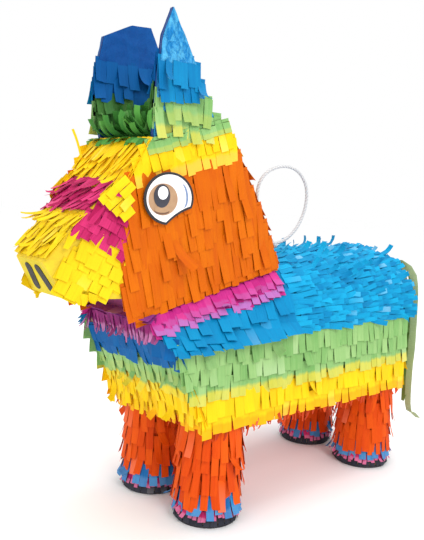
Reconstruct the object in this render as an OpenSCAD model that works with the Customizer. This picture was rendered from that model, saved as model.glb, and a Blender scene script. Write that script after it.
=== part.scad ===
// Hollow card donkey covered in rows of cut tissue paper, with a filling flap,
// a paper tail and a cord loop to hang it by.
// X runs from the nose to the tail, Z is up, and the donkey's left side is -Y.

/* [Body] */
// Width over the card sides of the body
body_w = 172; // [150:1:210]
// Rump's inner face, measured back from the fore leg line
rump_x = 326; // [260:1:400]
// Height of the belly's underside
belly_z = 118; // [90:1:150]
// Height of the flat sides, from the belly to the start of the round back
side_h = 94; // [85:1:120]
// Where the bottom of the chest stands, ahead of the fore leg line
chest_foot = 35; // [35:1:50]
// Lean of the chest from upright, in degrees
chest_lean = 26.8; // [20:0.2:32]
// Where the back of the neck meets the round back, behind the fore leg line
neck_x = 86; // [80:1:100]

/* [Head] */
// Width over the card sides of the head
head_w = 106; // [84:1:130]
// Height of the cheek's low corner above the flat sides
chin_rise = 28; // [24:1:34]
// Width of the card nose
nose_w = 54; // [44:1:66]
// Front of the nose, ahead of the fore leg line
nose_reach = 203; // [170:1:240]
// Front of the head, where the muzzle starts
head_front = 124; // [118:1:130]

/* [Legs] */
// Radius of the leg tubes
leg_r = 34; // [28:1:41]
// Wall of the leg tubes
leg_wall = 6; // [4:0.5:8]
// Space between the left and the right leg tubes
leg_gap = 36; // [28:1:48]
// Thickness of the soles
sole_t = 3; // [2:0.5:5]
// How far a sole stands out past its tube
sole_lip = 2; // [0:0.5:4]

/* [Card and paper] */
// Thickness of the card panels
card = 3; // [2:0.1:4]
// Thickness of the bent card over the back
sheet = 2; // [1.4:0.1:2.4]
// Depth of the cut paper layer on body and head
fringe = 8; // [6:0.5:10]
// Depth of the cut paper layer on the legs
leg_fringe = 11; // [8:0.5:13]
// Depth of the cut paper layer on the ears
ear_fringe = 6; // [4:0.5:8]
// Clearance between the card and the paper layer on it
skin_gap = 0.3; // [0.2:0.1:0.6]

/* [Filling flap] */
// Front edge of the flap, behind the fore leg line
flap_x = 120; // [100:1:150]
// Length of the flap along the body
flap_l = 100; // [70:1:125]
// Height of the flap, from its lower edge to the crease
flap_h = 70; // [50:1:80]
// Height of the flap's lower edge above the belly
flap_up = 14; // [10:1:16]
// Cut width round the three free edges
flap_cut = 1; // [0.6:0.1:2]
// Uncovered strip of the flap under its crease
crease_bare = 10; // [9:1:14]

/* [Loop and tail] */
// Thickness of the hanging cord
cord_d = 4.4; // [3:0.1:5]
// Radius of the knot at the foot of the loop
knot_r = 5; // [4:0.1:6]
// Radius of the stick that anchors the loop inside
stick_r = 4; // [3:0.1:5]
// Length of the anchor stick
stick_l = 60; // [40:1:90]
// How far the tail's tip stands out behind the rump
tail_reach = 66; // [61:1:140]
// Width of the tail's bundle of streamers
tail_w = 100; // [60:1:130]
// Length that the tail hangs below its fold
tail_drop = 240; // [180:1:250]

/* [Hidden] */
$fn = 96;

half_w = body_w / 2;
half_head = head_w / 2;
side_top = belly_z + side_h;
back_top = side_top + half_w;
rump_out = rump_x + card;
tail_tip = rump_out + tail_reach;
// The part stands with the middle of its length over the origin.
mid_x = (tail_tip - nose_reach) / 2;
chin_z = side_top + chin_rise;
// Height at which the head's sides cross the round back
withers_z = side_top + sqrt(half_w * half_w - half_head * half_head);
// Length along X of a card thickness in the leaning chest
chest_in = card / cos(chest_lean);
// Front to back lines of the four legs, and how far each stands from the middle:
// the fore legs stand just behind the foot of the chest, the hind legs end with the rump
foot_clear = 1;
fore_x = leg_r + foot_clear - chest_foot;
hind_x = rump_out - leg_r;
leg_y = leg_r + leg_gap / 2;
leg_top = belly_z;
leg_fringe_top = belly_z - 7;
hoof_low = 5;
hoof_mid = 18;
hoof_top = 36;
// Heights where one colour of paper ends and the next begins
yellow_top = belly_z + 37;
green_front_top = side_top - 14;
shoulder_turn = 0.45;
// Flap window
flap_z = belly_z + flap_up;
flap_end = flap_x + flap_l;
// Loop base, above the anchor stick
loop_x = 140;
tie_r = 1.1;
stick_z = back_top - sheet - stick_r - 3;
knot_z = back_top + knot_r + 2;
stem_r = 2.2;
stem_clear = 0.8;
slot_front = 22;
slot_back = 34;
slot_half = 12;
// Tail root
tail_top = back_top - 6;
patch_t = 2;
patch_h = 24;
patch_half = 20;
band_t = 11;
band_h = 22;
band_half = 22;
root_gap = 0.4;

// Straight line in the X-Z plane, as two points on it
green_line = [[-104, side_top + 206], [-3, side_top + 234]];
yellow_line = [[-96, side_top + 177], [21, side_top + 203]];
pink_line = [[-124, side_top + 98], [-183, side_top + 130]];
paper_low = [[-100, 0], [100, 0]];
paper_high = [[-100, 2 * back_top], [100, 2 * back_top]];

function chest_x(z) = -chest_foot - (z - belly_z) * tan(chest_lean);
function line_z(l, x) = l[0][1] + (l[1][1] - l[0][1]) * (x - l[0][0]) / (l[1][0] - l[0][0]);
function mix(a, b, t) = a + (b - a) * t;

// Outline tools: a closed outline that runs clockwise, each side moved outwards by its own amount
function unit(v) = v / norm(v);
function outward(v) = [-v[1], v[0]];
function side_dir(p, i) = unit(p[(i + 1) % len(p)] - p[i]);
function meet(a, u, b, v) = a + u * (cross(b - a, v) / cross(u, v));
function grown(p, d) = [
    for (i = [0 : len(p) - 1])
        let (h = (i + len(p) - 1) % len(p), u = side_dir(p, h), v = side_dir(p, i))
            meet(p[i] + outward(u) * d[h], u, p[i] + outward(v) * d[i], v)
];
function even(n, d) = [for (i = [1 : n]) d];

// Profile of head and muzzle, clockwise from the cheek's low corner
jaw_z = side_top + 48;
cheek = [chest_x(chin_z), chin_z];
profile = [
    cheek,
    [-112, jaw_z],
    [22 - nose_reach, jaw_z],
    [-nose_reach, side_top + 84],
    [29 - nose_reach, side_top + 123],
    [-head_front, side_top + 171],
    [-104, side_top + 206],
    [-5, side_top + 236],
    [24, side_top + 191],
    [62, back_top + 47],
    [neck_x, back_top + 2],
    [neck_x, withers_z]
];
lining = grown(profile, even(len(profile), -card));
function band(i, j) = concat([for (k = [i : j]) profile[k]], [for (k = [j : -1 : i]) lining[k]]);

head_side = concat([profile[0], profile[1], [-head_front, jaw_z]], [for (k = [5 : 11]) profile[k]]);
muzzle_side = [[-head_front, jaw_z], profile[2], profile[3], profile[4], profile[5]];

// Half widths in plan: the muzzle's sides close in from the head to the nose
taper = (half_head - nose_w / 2) / (nose_reach - head_front);
card_y = card * sqrt(1 + taper * taper);
function muzzle_half(x) = nose_w / 2 + (x + nose_reach) * taper;
function muzzle_plan(d, far) = [
    [far, half_head + d],
    [-head_front, half_head + d],
    [-head_front, muzzle_half(-head_front) + d],
    [-nose_reach - 20, muzzle_half(-nose_reach - 20) + d],
    [-nose_reach - 20, -muzzle_half(-nose_reach - 20) - d],
    [-head_front, -muzzle_half(-head_front) - d],
    [-head_front, -half_head - d],
    [far, -half_head - d]
];

// Ears: a pointed one on the left and a broad one on the right
ear_y = half_head - card;
ear_root = [[-92, side_top + 190], [-98, side_top + 212]];
left_ear_edge = [
    [-96, side_top + 264], [-91, side_top + 310], [-80, side_top + 338],
    [-46, side_top + 285], [-35, side_top + 258], [-15, side_top + 232]
];
right_ear_edge = [
    [-107, side_top + 276], [-98, side_top + 318], [-62, side_top + 336], [-36, side_top + 338],
    [-22, side_top + 312], [-12, side_top + 286], [-12, side_top + 233]
];
ear_heel = [[-22, side_top + 212]];
crown_clear = fringe + 1;
crown_line = [[-104, side_top + 206 + crown_clear], [-5, side_top + 236 + crown_clear]];

// Hanging loop's own route, hand-placed from the knot round and back to it
loop_route = [
    [42, 0, 309], [35, 0, 317], [25, 0, 330], [16, 1, 346], [11, 2, 364], [13, 2, 382],
    [23, 1, 396], [39, 0, 404], [57, -1, 407], [74, -2, 404], [88, -2, 396], [98, -2, 383],
    [102, -1, 367], [100, 0, 350], [92, 0, 334], [80, 0, 321], [65, 0, 312], [48, 0, 307]
];

module placed() { translate([-mid_x, 0, 0]) children(); }
// Plate in the X-Z plane, from y to y + t
module xz_plate(points, y, t) {
    translate([0, y + t, 0]) rotate([90, 0, 0]) linear_extrude(t) polygon(points);
}
// Plate in the Y-Z plane, from x to x + t
module yz_plate(x, t) { translate([x, 0, 0]) rotate([90, 0, 90]) linear_extrude(t) children(); }
// Plate along the leaning chest, from depth w to w + t behind its outer face
module chest_plate(w, t) {
    translate([-chest_foot, 0, belly_z]) rotate([0, -chest_lean, 0])
        rotate([90, 0, 90]) translate([0, 0, w]) linear_extrude(t) children();
}
module tube(r, wall, z0, z1) {
    translate([0, 0, z0]) difference() {
        cylinder(r = r, h = z1 - z0);
        translate([0, 0, -1]) cylinder(r = r - wall, h = z1 - z0 + 2);
    }
}
module at_leg(x, side) { placed() translate([x, side * leg_y, 0]) children(); }
module at_all_legs() {
    for (x = [fore_x, hind_x], side = [-1, 1]) at_leg(x, side) children();
}

// ---- Card body ----
module flank(side) {
    points = [
        [chest_x(belly_z) + chest_in, belly_z], [rump_x, belly_z],
        [rump_x, side_top], [chest_x(side_top) + chest_in, side_top]
    ];
    xz_plate(points, side > 0 ? half_w - card : -half_w, card);
}
module flap_window(cut, y, t) {
    translate([flap_x - cut, y, flap_z - cut]) cube([flap_l + 2 * cut, t, flap_h + cut]);
}
module left_flank() { color("peru") placed() flank(-1); }
module right_flank() {
    color("peru") placed() difference() {
        flank(1);
        flap_window(flap_cut, half_w - 2 * card, 3 * card);
    }
}
// Bent over the two sides, with a hole for the loop's cord
module half_pipe(r, wall, x0, x1) {
    translate([x0, 0, side_top]) rotate([90, 0, 90]) linear_extrude(x1 - x0) difference() {
        circle(r = r);
        circle(r = r - wall);
        translate([-2 * r, -2 * r]) square([4 * r, 2 * r]);
    }
}
module back_sheet() {
    color("peru") placed() difference() {
        half_pipe(half_w, sheet, neck_x, rump_x);
        translate([loop_x, 0, back_top - 3 * sheet]) cylinder(r = stem_r + stem_clear, h = 6 * sheet);
    }
}
module belly_panel() {
    x0 = chest_x(belly_z) + chest_in;
    color("peru") placed() translate([x0, -half_w + card, belly_z])
        cube([rump_x - x0, body_w - 2 * card, card]);
}
module chest_outline(grow, s_low, s_turn, s_high) {
    polygon([
        [-half_w - grow, s_low], [half_w + grow, s_low], [half_w + grow, s_turn],
        [half_head + grow, s_high], [-half_head - grow, s_high], [-half_w - grow, s_turn]
    ]);
}
function chest_s(z) = (z - belly_z) / cos(chest_lean);
module chest_panel() {
    color("peru") placed() chest_plate(0, card)
        chest_outline(0, 0, chest_s(side_top), chest_s(chin_z) - card * tan(chest_lean));
}
module rump_outline(r) {
    intersection() {
        union() {
            translate([0, side_top]) circle(r = r);
            translate([-r, belly_z]) square([2 * r, side_h]);
        }
        translate([-r, belly_z]) square([2 * r, side_h + r]);
    }
}
module rump_panel() { color("peru") placed() yz_plate(rump_x, card) rump_outline(half_w); }

// Shoulder: card or paper that turns from the flat side to the head's lower edge.
// Its back edge follows the round back and its front edge follows the chest. Card and paper
// share the same steps, so that they lie flat on each other.
shoulder_steps = 20;
neck_turn = acos(half_head / half_w);
// Sideways growth of the front edge that keeps the thickness square to the surface
front_k = norm([half_w - half_head, chin_rise]) / chin_rise;
function shoulder_back(t, grow) = [
    neck_x, (half_w + grow) * cos(neck_turn * t), side_top + (half_w + grow) * sin(neck_turn * t)
];
function shoulder_front(t, grow) = let (z = mix(side_top, chin_z, t)) [
    chest_x(z) + chest_in + skin_gap, mix(half_w, half_head, t) + grow * front_k, z
];
module shoulder(side, t0, t1, low, high) {
    n = round((t1 - t0) * shoulder_steps);
    function ts(i) = mix(t0, t1, i / n);
    points = concat(
        [for (i = [0 : n]) shoulder_front(ts(i), high)], [for (i = [0 : n]) shoulder_back(ts(i), high)],
        [for (i = [0 : n]) shoulder_front(ts(i), low)], [for (i = [0 : n]) shoulder_back(ts(i), low)]
    );
    m = n + 1;
    faces = concat(
        [for (i = [0 : n - 1]) each [[i, i + 1, m + i], [i + 1, m + i + 1, m + i]]],
        [for (i = [0 : n - 1]) each [
            [2 * m + i, 3 * m + i, 2 * m + i + 1], [2 * m + i + 1, 3 * m + i, 3 * m + i + 1]
        ]],
        [for (i = [0 : n - 1]) each [
            [i, 2 * m + i, i + 1], [i + 1, 2 * m + i, 2 * m + i + 1],
            [m + i, m + i + 1, 3 * m + i], [m + i + 1, 3 * m + i + 1, 3 * m + i]
        ]],
        [[0, m, 2 * m], [m, 3 * m, 2 * m], [n, 2 * m + n, m + n], [m + n, 2 * m + n, 3 * m + n]]
    );
    if (side > 0) polyhedron(points, [for (f = faces) [f[0], f[2], f[1]]]);
    else mirror([0, 1, 0]) polyhedron(points, [for (f = faces) [f[0], f[2], f[1]]]);
}
module left_shoulder() { color("peru") placed() shoulder(-1, 0, 1, -card, 0); }
module right_shoulder() { color("peru") placed() shoulder(1, 0, 1, -card, 0); }

// ---- Card head ----
module left_head_panel() { color("peru") placed() xz_plate(head_side, -half_head, card); }
module right_head_panel() { color("peru") placed() xz_plate(head_side, half_head - card, card); }
module muzzle_panel(side) {
    intersection() {
        xz_plate(muzzle_side, -half_head - 1, head_w + 2);
        linear_extrude(2 * back_top) polygon([
            [-head_front, side * muzzle_half(-head_front)],
            [-nose_reach - 20, side * muzzle_half(-nose_reach - 20)],
            [-nose_reach - 20, side * (muzzle_half(-nose_reach - 20) - card_y)],
            [-head_front, side * (muzzle_half(-head_front) - card_y)]
        ]);
    }
}
module left_muzzle_panel() { color("peru") placed() muzzle_panel(-1); }
module right_muzzle_panel() { color("peru") placed() muzzle_panel(1); }
// Strip of card bent along the profile from corner i to corner j, between the two sides
module head_strip(i, j) {
    intersection() {
        xz_plate(band(i, j), -half_head, head_w);
        linear_extrude(2 * back_top) polygon(muzzle_plan(-card_y, neck_x));
    }
}
module face_strip() { color("peru") placed() head_strip(3, 6); }
module nose_plate() { color("gold") placed() head_strip(2, 3); }
module jaw_strip() { color("peru") placed() head_strip(0, 2); }
module nape_strip() { color("peru") placed() head_strip(7, 11); }
// The ears' roots stand on both sides of it
module crown_strip() {
    color("peru") placed() intersection() {
        head_strip(6, 7);
        translate([-head_front, -ear_y + card, side_top])
            cube([head_front + neck_x, 2 * (ear_y - card), back_top]);
    }
}
module left_ear() {
    color("royalblue") placed() xz_plate(concat(ear_root, left_ear_edge, ear_heel), -ear_y, card);
}
module right_ear() {
    color("royalblue") placed() xz_plate(concat(ear_root, right_ear_edge, ear_heel), ear_y - card, card);
}

// ---- Legs ----
module leg() { tube(leg_r, leg_wall, sole_t, leg_top); }
module sole() { cylinder(r = leg_r + sole_lip, h = sole_t); }
module left_fore_leg() { color("peru") at_leg(fore_x, -1) leg(); }
module right_fore_leg() { color("peru") at_leg(fore_x, 1) leg(); }
module left_hind_leg() { color("peru") at_leg(hind_x, -1) leg(); }
module right_hind_leg() { color("peru") at_leg(hind_x, 1) leg(); }
module left_fore_sole() { color("dimgray") at_leg(fore_x, -1) sole(); }
module right_fore_sole() { color("dimgray") at_leg(fore_x, 1) sole(); }
module left_hind_sole() { color("dimgray") at_leg(hind_x, -1) sole(); }
module right_hind_sole() { color("dimgray") at_leg(hind_x, 1) sole(); }

// ---- Filling flap on the right side ----
module fill_flap() {
    color("tan") placed() translate([0, 0, -skin_gap])
        flap_window(0, half_w - card + skin_gap, card - skin_gap);
}
// Two card tabs glued inside, behind the flap's lower corners
tab_w = 24;
tab_h = 16;
tab_under = 6;
module flap_stop_tabs() {
    color("tan") placed() for (x = [flap_x + tab_under, flap_end - tab_under - tab_w])
        translate([x, half_w - 2 * card, flap_z - tab_h + tab_under]) cube([tab_w, card, tab_h]);
}

// ---- Hanging loop ----
module anchor_stick() {
    color("burlywood") placed() translate([loop_x - stick_l / 2, 0, stick_z])
        rotate([0, 90, 0]) cylinder(r = stick_r, h = stick_l);
}
module anchor_tie() {
    ring_r = stick_r + tie_r + 0.1;
    color("white") placed() translate([loop_x, 0, stick_z]) {
        rotate([0, 90, 0]) rotate_extrude() translate([ring_r, 0]) circle(r = tie_r, $fn = 24);
        translate([0, 0, ring_r])
            cylinder(r = stem_r, h = knot_z - knot_r - root_gap - stick_z - ring_r, $fn = 32);
    }
}
// Tube swept along a list of points, with flat ends
cord_sides = 8;
function tangent(p, i) = unit(p[min(i + 1, len(p) - 1)] - p[max(i - 1, 0)]);
function ring(c, t, r) = let (u = unit(cross([0, 1, 0], t)), v = cross(t, u))
    [for (k = [0 : cord_sides - 1]) let (a = 360 * k / cord_sides) c + r * (cos(a) * u + sin(a) * v)];
// Catmull-Rom curve through the route's points
function curve_at(p, i, t) = let (
        a = p[max(i - 1, 0)], b = p[i], c = p[i + 1], d = p[min(i + 2, len(p) - 1)]
    ) 0.5 * (2 * b + (c - a) * t + (2 * a - 5 * b + 4 * c - d) * t ^ 2 + (3 * b - a - 3 * c + d) * t ^ 3);
route_steps = 2;
function fine(p) = concat(
    [for (i = [0 : len(p) - 2], k = [0 : route_steps - 1]) curve_at(p, i, k / route_steps)], [p[len(p) - 1]]
);
module hanging_loop() {
    path = fine(loop_route);
    n = len(path);
    s = cord_sides;
    points = [for (i = [0 : n - 1]) each ring(path[i], tangent(path, i), cord_d / 2)];
    walls = [for (i = [0 : n - 2], k = [0 : s - 1]) let (j = (k + 1) % s)
        each [[i * s + k, i * s + j, (i + 1) * s + k], [i * s + j, (i + 1) * s + j, (i + 1) * s + k]]];
    ends = [[for (k = [s - 1 : -1 : 0]) k], [for (k = [0 : s - 1]) (n - 1) * s + k]];
    color("white")
        polyhedron(points, [for (f = concat(walls, ends)) [for (k = [len(f) - 1 : -1 : 0]) f[k]]]);
}
module loop_knot() { color("white") placed() translate([loop_x, 0, knot_z]) sphere(r = knot_r, $fn = 48); }

// ---- Tail ----
module tail_patch() {
    color("peru") placed() translate([rump_out, -patch_half, tail_top - patch_h])
        cube([patch_t, 2 * patch_half, patch_h]);
}
band_x = rump_out + patch_t + root_gap;
module tail_band() {
    color("yellowgreen") placed() translate([band_x, -band_half, tail_top - band_h - root_gap])
        cube([band_t, 2 * band_half, band_h]);
}
// Bundle of streamers: out from the band, over, and down to a curled tip
tail_t = 10;
tail_lean = 34;
module tail_streamers() {
    x0 = band_x + band_t;
    top = tail_top - root_gap - 2;
    low = tail_top - tail_drop;
    out = tail_tip - 10;
    side = [
        [x0, top], [out - 22, top - 6], [out - 8, top - 28], [out - 3, top - 90], [out, low + 16],
        [tail_tip, low + 4], [tail_tip, low], [out - 10, low], [out - 14, low + 16],
        [out - tail_t - 5, top - 90], [out - tail_t - 12, top - 30], [x0, top - 14]
    ];
    color("yellowgreen") placed() xz_plate(side, -tail_w / 2 - tail_lean, tail_w);
}

// ---- Eyes and nostrils ----
eye_t = 1;
eye_spot = [-84, side_top + 150];
module eye_outline() {
    intersection() {
        union() {
            translate([-6, 0]) circle(r = 25);
            translate([8, 2]) circle(r = 22);
        }
        translate([-2, 3]) circle(r = 31);
        translate([-34, -23]) square([64, 52]);
        polygon([[-40, -40], [8, -40], [40, -2], [40, 40], [-40, 40]]);
    }
}
module eye(y) {
    translate([eye_spot[0], y + eye_t, eye_spot[1]]) rotate([90, 0, 0]) linear_extrude(eye_t) eye_outline();
}
eye_y = half_head + fringe + skin_gap;
module left_eye() { color("white") placed() eye(-eye_y - eye_t); }
module right_eye() { color("white") placed() eye(eye_y); }
nostril_r = 5.5;
nostril_l = 22;
nostril_half = 12;
nostril_t = 0.8;
module nostrils() {
    low = profile[2];
    lean = atan2(profile[3][1] - low[1], low[0] - profile[3][0]);
    color("dimgray") placed() translate([low[0], 0, low[1]]) rotate([0, lean - 90, 0])
        rotate([90, 0, -90]) linear_extrude(nostril_t) for (side = [-1, 1])
            translate([side * nostril_half, 21]) rotate(side * 12) union() {
                for (s = [-1, 1]) translate([0, s * nostril_l / 2]) circle(r = nostril_r);
                translate([-nostril_r, -nostril_l / 2]) square([2 * nostril_r, nostril_l]);
            }
}

// ---- Cut paper layers ----
module paper_zone(low, high) {
    far = 2 * nose_reach;
    xz_plate([
        [-far, line_z(low, -far)], [-far, line_z(high, -far)],
        [far, line_z(high, far)], [far, line_z(low, far)]
    ], -body_w, 2 * body_w);
}
// Paper on both sides, the face, the crown and the nape; open at the front, the bottom and the back
head_grow = [-1, 0, 0, 1, 1, 1, 1, 1, 0, -1];
module head_skin() {
    outer = [for (g = head_grow) g * fringe];
    inner = [for (g = head_grow) g > 0 ? skin_gap : 1];
    difference() {
        xz_plate(grown(head_side, outer), -half_head - fringe, head_w + 2 * fringe);
        xz_plate(grown(head_side, inner), -half_head - skin_gap, head_w + 2 * skin_gap);
    }
}
module crown_fringe() {
    color("limegreen") placed() difference() {
        intersection() { head_skin(); paper_zone(green_line, paper_high); }
        for (side = [-1, 1])
            translate([-head_front, side * (ear_y - card / 2) - card / 2 - skin_gap, side_top + 190])
                cube([head_front, card + 2 * skin_gap, side_h]);
    }
}
module head_yellow_fringe() {
    color("gold") placed() intersection() { head_skin(); paper_zone(yellow_line, green_line); }
}
module head_orange_fringe() {
    color("darkorange") placed() intersection() { head_skin(); paper_zone(paper_low, yellow_line); }
}
module muzzle_skin() {
    difference() {
        intersection() {
            xz_plate(grown(muzzle_side, [0, -1.2 * fringe, fringe, fringe, 0]), -half_w, body_w);
            linear_extrude(2 * back_top) polygon(muzzle_plan(fringe, neck_x));
        }
        intersection() {
            xz_plate(grown(muzzle_side, [1, 1, skin_gap, skin_gap, 1]), -half_w, body_w);
            linear_extrude(2 * back_top) polygon(muzzle_plan(skin_gap, neck_x));
        }
    }
}
module muzzle_pink_fringe() {
    color("deeppink") placed() intersection() { muzzle_skin(); paper_zone(pink_line, paper_high); }
}
module muzzle_yellow_fringe() {
    color("gold") placed() intersection() { muzzle_skin(); paper_zone(paper_low, pink_line); }
}
module ear_paper(edge, y) {
    for (plate = [[y - ear_fringe - skin_gap, ear_fringe], [y + card + skin_gap, 1]]) intersection() {
        xz_plate(concat(ear_root, edge, ear_heel), plate[0], plate[1]);
        paper_zone(crown_line, paper_high);
    }
}
module left_ear_fringe() { color("dodgerblue") placed() ear_paper(left_ear_edge, -ear_y); }
module right_ear_fringe() {
    color("dodgerblue") placed() mirror([0, 1, 0]) ear_paper(right_ear_edge, -ear_y);
}

// Paper on one flat side between two heights, from x0 back to x1; x0 undef starts at the chest
module side_paper(side, z0, z1, x0, x1) {
    points = [
        [is_undef(x0) ? chest_x(z0) : x0, z0], [x1, z0], [x1, z1], [is_undef(x0) ? chest_x(z1) : x0, z1]
    ];
    depth = fringe - skin_gap;
    difference() {
        xz_plate(points, side > 0 ? half_w + skin_gap : -half_w - fringe, depth);
        if (side > 0) flap_window(flap_cut, half_w, 2 * fringe);
    }
}
module chest_paper(z0, z1) {
    chest_plate(-fringe, fringe - skin_gap) intersection() {
        chest_outline(fringe, 0, chest_s(side_top), chest_s(chin_z) - card);
        translate([-body_w, chest_s(z0)]) square([2 * body_w, chest_s(z1) - chest_s(z0)]);
    }
}
// The tail's root stands in a notch
module rump_paper(z0, z1) {
    yz_plate(rump_out + skin_gap, fringe - skin_gap) difference() {
        intersection() {
            rump_outline(half_w + fringe);
            translate([-body_w, z0]) square([2 * body_w, z1 - z0]);
        }
        translate([-band_half - 2, tail_top - patch_h - 2]) square([2 * band_half + 4, body_w]);
    }
}
module body_yellow_fringe() {
    color("gold") placed() {
        for (side = [-1, 1]) side_paper(side, belly_z, yellow_top, undef, rump_out);
        chest_paper(belly_z, yellow_top);
        rump_paper(belly_z, yellow_top);
    }
}
module body_green_fringe() {
    color("yellowgreen") placed() {
        for (side = [-1, 1]) {
            side_paper(side, yellow_top, green_front_top, undef, rump_out);
            side_paper(side, green_front_top, side_top, neck_x, rump_out);
        }
        chest_paper(yellow_top, green_front_top);
        rump_paper(yellow_top, side_top);
    }
}
module shoulder_blue_fringe() {
    color("deepskyblue") placed() {
        for (side = [-1, 1]) {
            side_paper(side, green_front_top, side_top, undef, neck_x);
            shoulder(side, 0, shoulder_turn, skin_gap, fringe);
        }
        chest_paper(green_front_top, side_top + chin_rise * shoulder_turn);
    }
}
module neck_pink_fringe() {
    color("deeppink") placed() {
        for (side = [-1, 1]) shoulder(side, shoulder_turn, 1, skin_gap, fringe);
        chest_paper(side_top + chin_rise * shoulder_turn, chin_z);
    }
}
module back_blue_fringe() {
    color("deepskyblue") placed() difference() {
        union() {
            half_pipe(half_w + fringe, fringe - skin_gap, neck_x, rump_out);
            rump_paper(side_top, back_top + fringe);
        }
        translate([loop_x - slot_front, -slot_half, side_top])
            cube([slot_front + slot_back, 2 * slot_half, body_w]);
    }
}
// One sheet under the belly, cut out round the legs and open to its edge beside them
module belly_paper() {
    x0 = chest_x(belly_z) + chest_in;
    paper_t = 1;
    hole_r = leg_r + skin_gap;
    color("darkorange") difference() {
        placed() translate([x0, -half_w, belly_z - paper_t]) cube([rump_out - x0, body_w, paper_t]);
        at_all_legs() translate([0, 0, belly_z - 2 * paper_t]) cylinder(r = hole_r, h = 3 * paper_t);
        for (x = [fore_x, hind_x], side = [-1, 1]) at_leg(x, side)
            translate([-hole_r, side > 0 ? 0 : -body_w, belly_z - 2 * paper_t])
                cube([2 * hole_r, body_w, 3 * paper_t]);
    }
}
module flap_fringe() {
    color("yellowgreen") placed() translate([flap_x, half_w + skin_gap, flap_z])
        cube([flap_l, fringe - skin_gap, flap_h - crease_bare]);
}
module leg_paper(z0, z1) { tube(leg_r + leg_fringe, leg_fringe - skin_gap, z0, z1); }
module left_fore_fringe() { color("darkorange") at_leg(fore_x, -1) leg_paper(hoof_top, leg_fringe_top); }
module right_fore_fringe() { color("darkorange") at_leg(fore_x, 1) leg_paper(hoof_top, leg_fringe_top); }
module left_hind_fringe() { color("darkorange") at_leg(hind_x, -1) leg_paper(hoof_top, leg_fringe_top); }
module right_hind_fringe() { color("darkorange") at_leg(hind_x, 1) leg_paper(hoof_top, leg_fringe_top); }
module hoof_blue_fringe() { color("deepskyblue") at_all_legs() leg_paper(hoof_mid, hoof_top); }
module hoof_pink_fringe() { color("deeppink") at_all_legs() leg_paper(hoof_low, hoof_mid); }

left_flank();
right_flank();
back_sheet();
belly_panel();
chest_panel();
rump_panel();
left_shoulder();
right_shoulder();
left_head_panel();
right_head_panel();
left_muzzle_panel();
right_muzzle_panel();
face_strip();
nose_plate();
jaw_strip();
nape_strip();
crown_strip();
left_ear();
right_ear();
left_fore_leg();
right_fore_leg();
left_hind_leg();
right_hind_leg();
left_fore_sole();
right_fore_sole();
left_hind_sole();
right_hind_sole();
fill_flap();
flap_stop_tabs();
anchor_stick();
anchor_tie();
hanging_loop();
loop_knot();
tail_patch();
tail_band();
tail_streamers();
left_eye();
right_eye();
nostrils();
belly_paper();
left_ear_fringe();
right_ear_fringe();
crown_fringe();
head_yellow_fringe();
head_orange_fringe();
muzzle_pink_fringe();
muzzle_yellow_fringe();
neck_pink_fringe();
shoulder_blue_fringe();
back_blue_fringe();
body_green_fringe();
body_yellow_fringe();
flap_fringe();
left_fore_fringe();
right_fore_fringe();
left_hind_fringe();
right_hind_fringe();
hoof_blue_fringe();
hoof_pink_fringe();
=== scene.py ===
import math
import bpy
import numpy as np
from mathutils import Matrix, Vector
from mathutils.bvhtree import BVHTree


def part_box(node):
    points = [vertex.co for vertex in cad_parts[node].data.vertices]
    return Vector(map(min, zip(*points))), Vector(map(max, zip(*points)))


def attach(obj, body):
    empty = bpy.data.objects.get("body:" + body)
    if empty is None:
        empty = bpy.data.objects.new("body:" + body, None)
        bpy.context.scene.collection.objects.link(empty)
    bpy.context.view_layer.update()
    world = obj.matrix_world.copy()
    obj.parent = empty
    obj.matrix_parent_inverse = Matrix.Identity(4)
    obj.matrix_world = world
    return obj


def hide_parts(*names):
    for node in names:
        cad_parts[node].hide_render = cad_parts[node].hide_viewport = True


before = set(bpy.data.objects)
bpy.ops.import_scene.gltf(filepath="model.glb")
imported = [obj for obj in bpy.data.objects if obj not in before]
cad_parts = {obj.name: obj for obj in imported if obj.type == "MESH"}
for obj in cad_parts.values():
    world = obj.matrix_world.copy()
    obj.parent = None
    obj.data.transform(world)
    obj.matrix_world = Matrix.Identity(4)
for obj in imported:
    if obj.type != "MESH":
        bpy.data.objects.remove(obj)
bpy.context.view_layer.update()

# ---- Camera ---------------------------------------------------------------------------------
# Stands a little above the donkey's shoulder, in front of its left side, and looks slightly
# down at it.
camera_data = bpy.data.cameras.new("camera")
camera_data.lens = 46.13
camera = bpy.data.objects.new("camera", camera_data)
bpy.context.scene.collection.objects.link(camera)
camera.location = (-0.612, -0.614, 0.374)
yaw, pitch, roll = math.radians(41.95), math.radians(6.75), math.radians(3.19)
look = Vector((math.sin(yaw) * math.cos(pitch), math.cos(yaw) * math.cos(pitch), -math.sin(pitch)))
camera.rotation_euler = look.to_track_quat("-Z", "Y").to_euler()
camera.rotation_euler.rotate_axis("Z", roll)
bpy.context.scene.camera = camera

# ---- Hanging loop ---------------------------------------------------------------------------
# A piece of white three-ply cotton cord, stiffened, that comes up through the back, stands in
# one open loop and goes back into its own knot.
loop_route = [
    (0.042, 0, 0.309), (0.035, 0, 0.317), (0.025, 0, 0.330), (0.016, 0.001, 0.346),
    (0.011, 0.002, 0.364), (0.013, 0.002, 0.382), (0.023, 0.001, 0.396), (0.039, 0, 0.404),
    (0.057, -0.001, 0.407), (0.074, -0.002, 0.404), (0.088, -0.002, 0.396), (0.098, -0.002, 0.383),
    (0.102, -0.001, 0.367), (0.100, 0, 0.350), (0.092, 0, 0.334), (0.080, 0, 0.321),
    (0.065, 0, 0.312), (0.048, 0, 0.307),
]
loop_thick = 0.0044
plies = 3
lay_length = 0.014


def unit(v):
    """Vectors of length one, from an array whose last axis is x, y, z."""
    return v / np.maximum(np.linalg.norm(v, axis=-1, keepdims=True), 1e-12)


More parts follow.
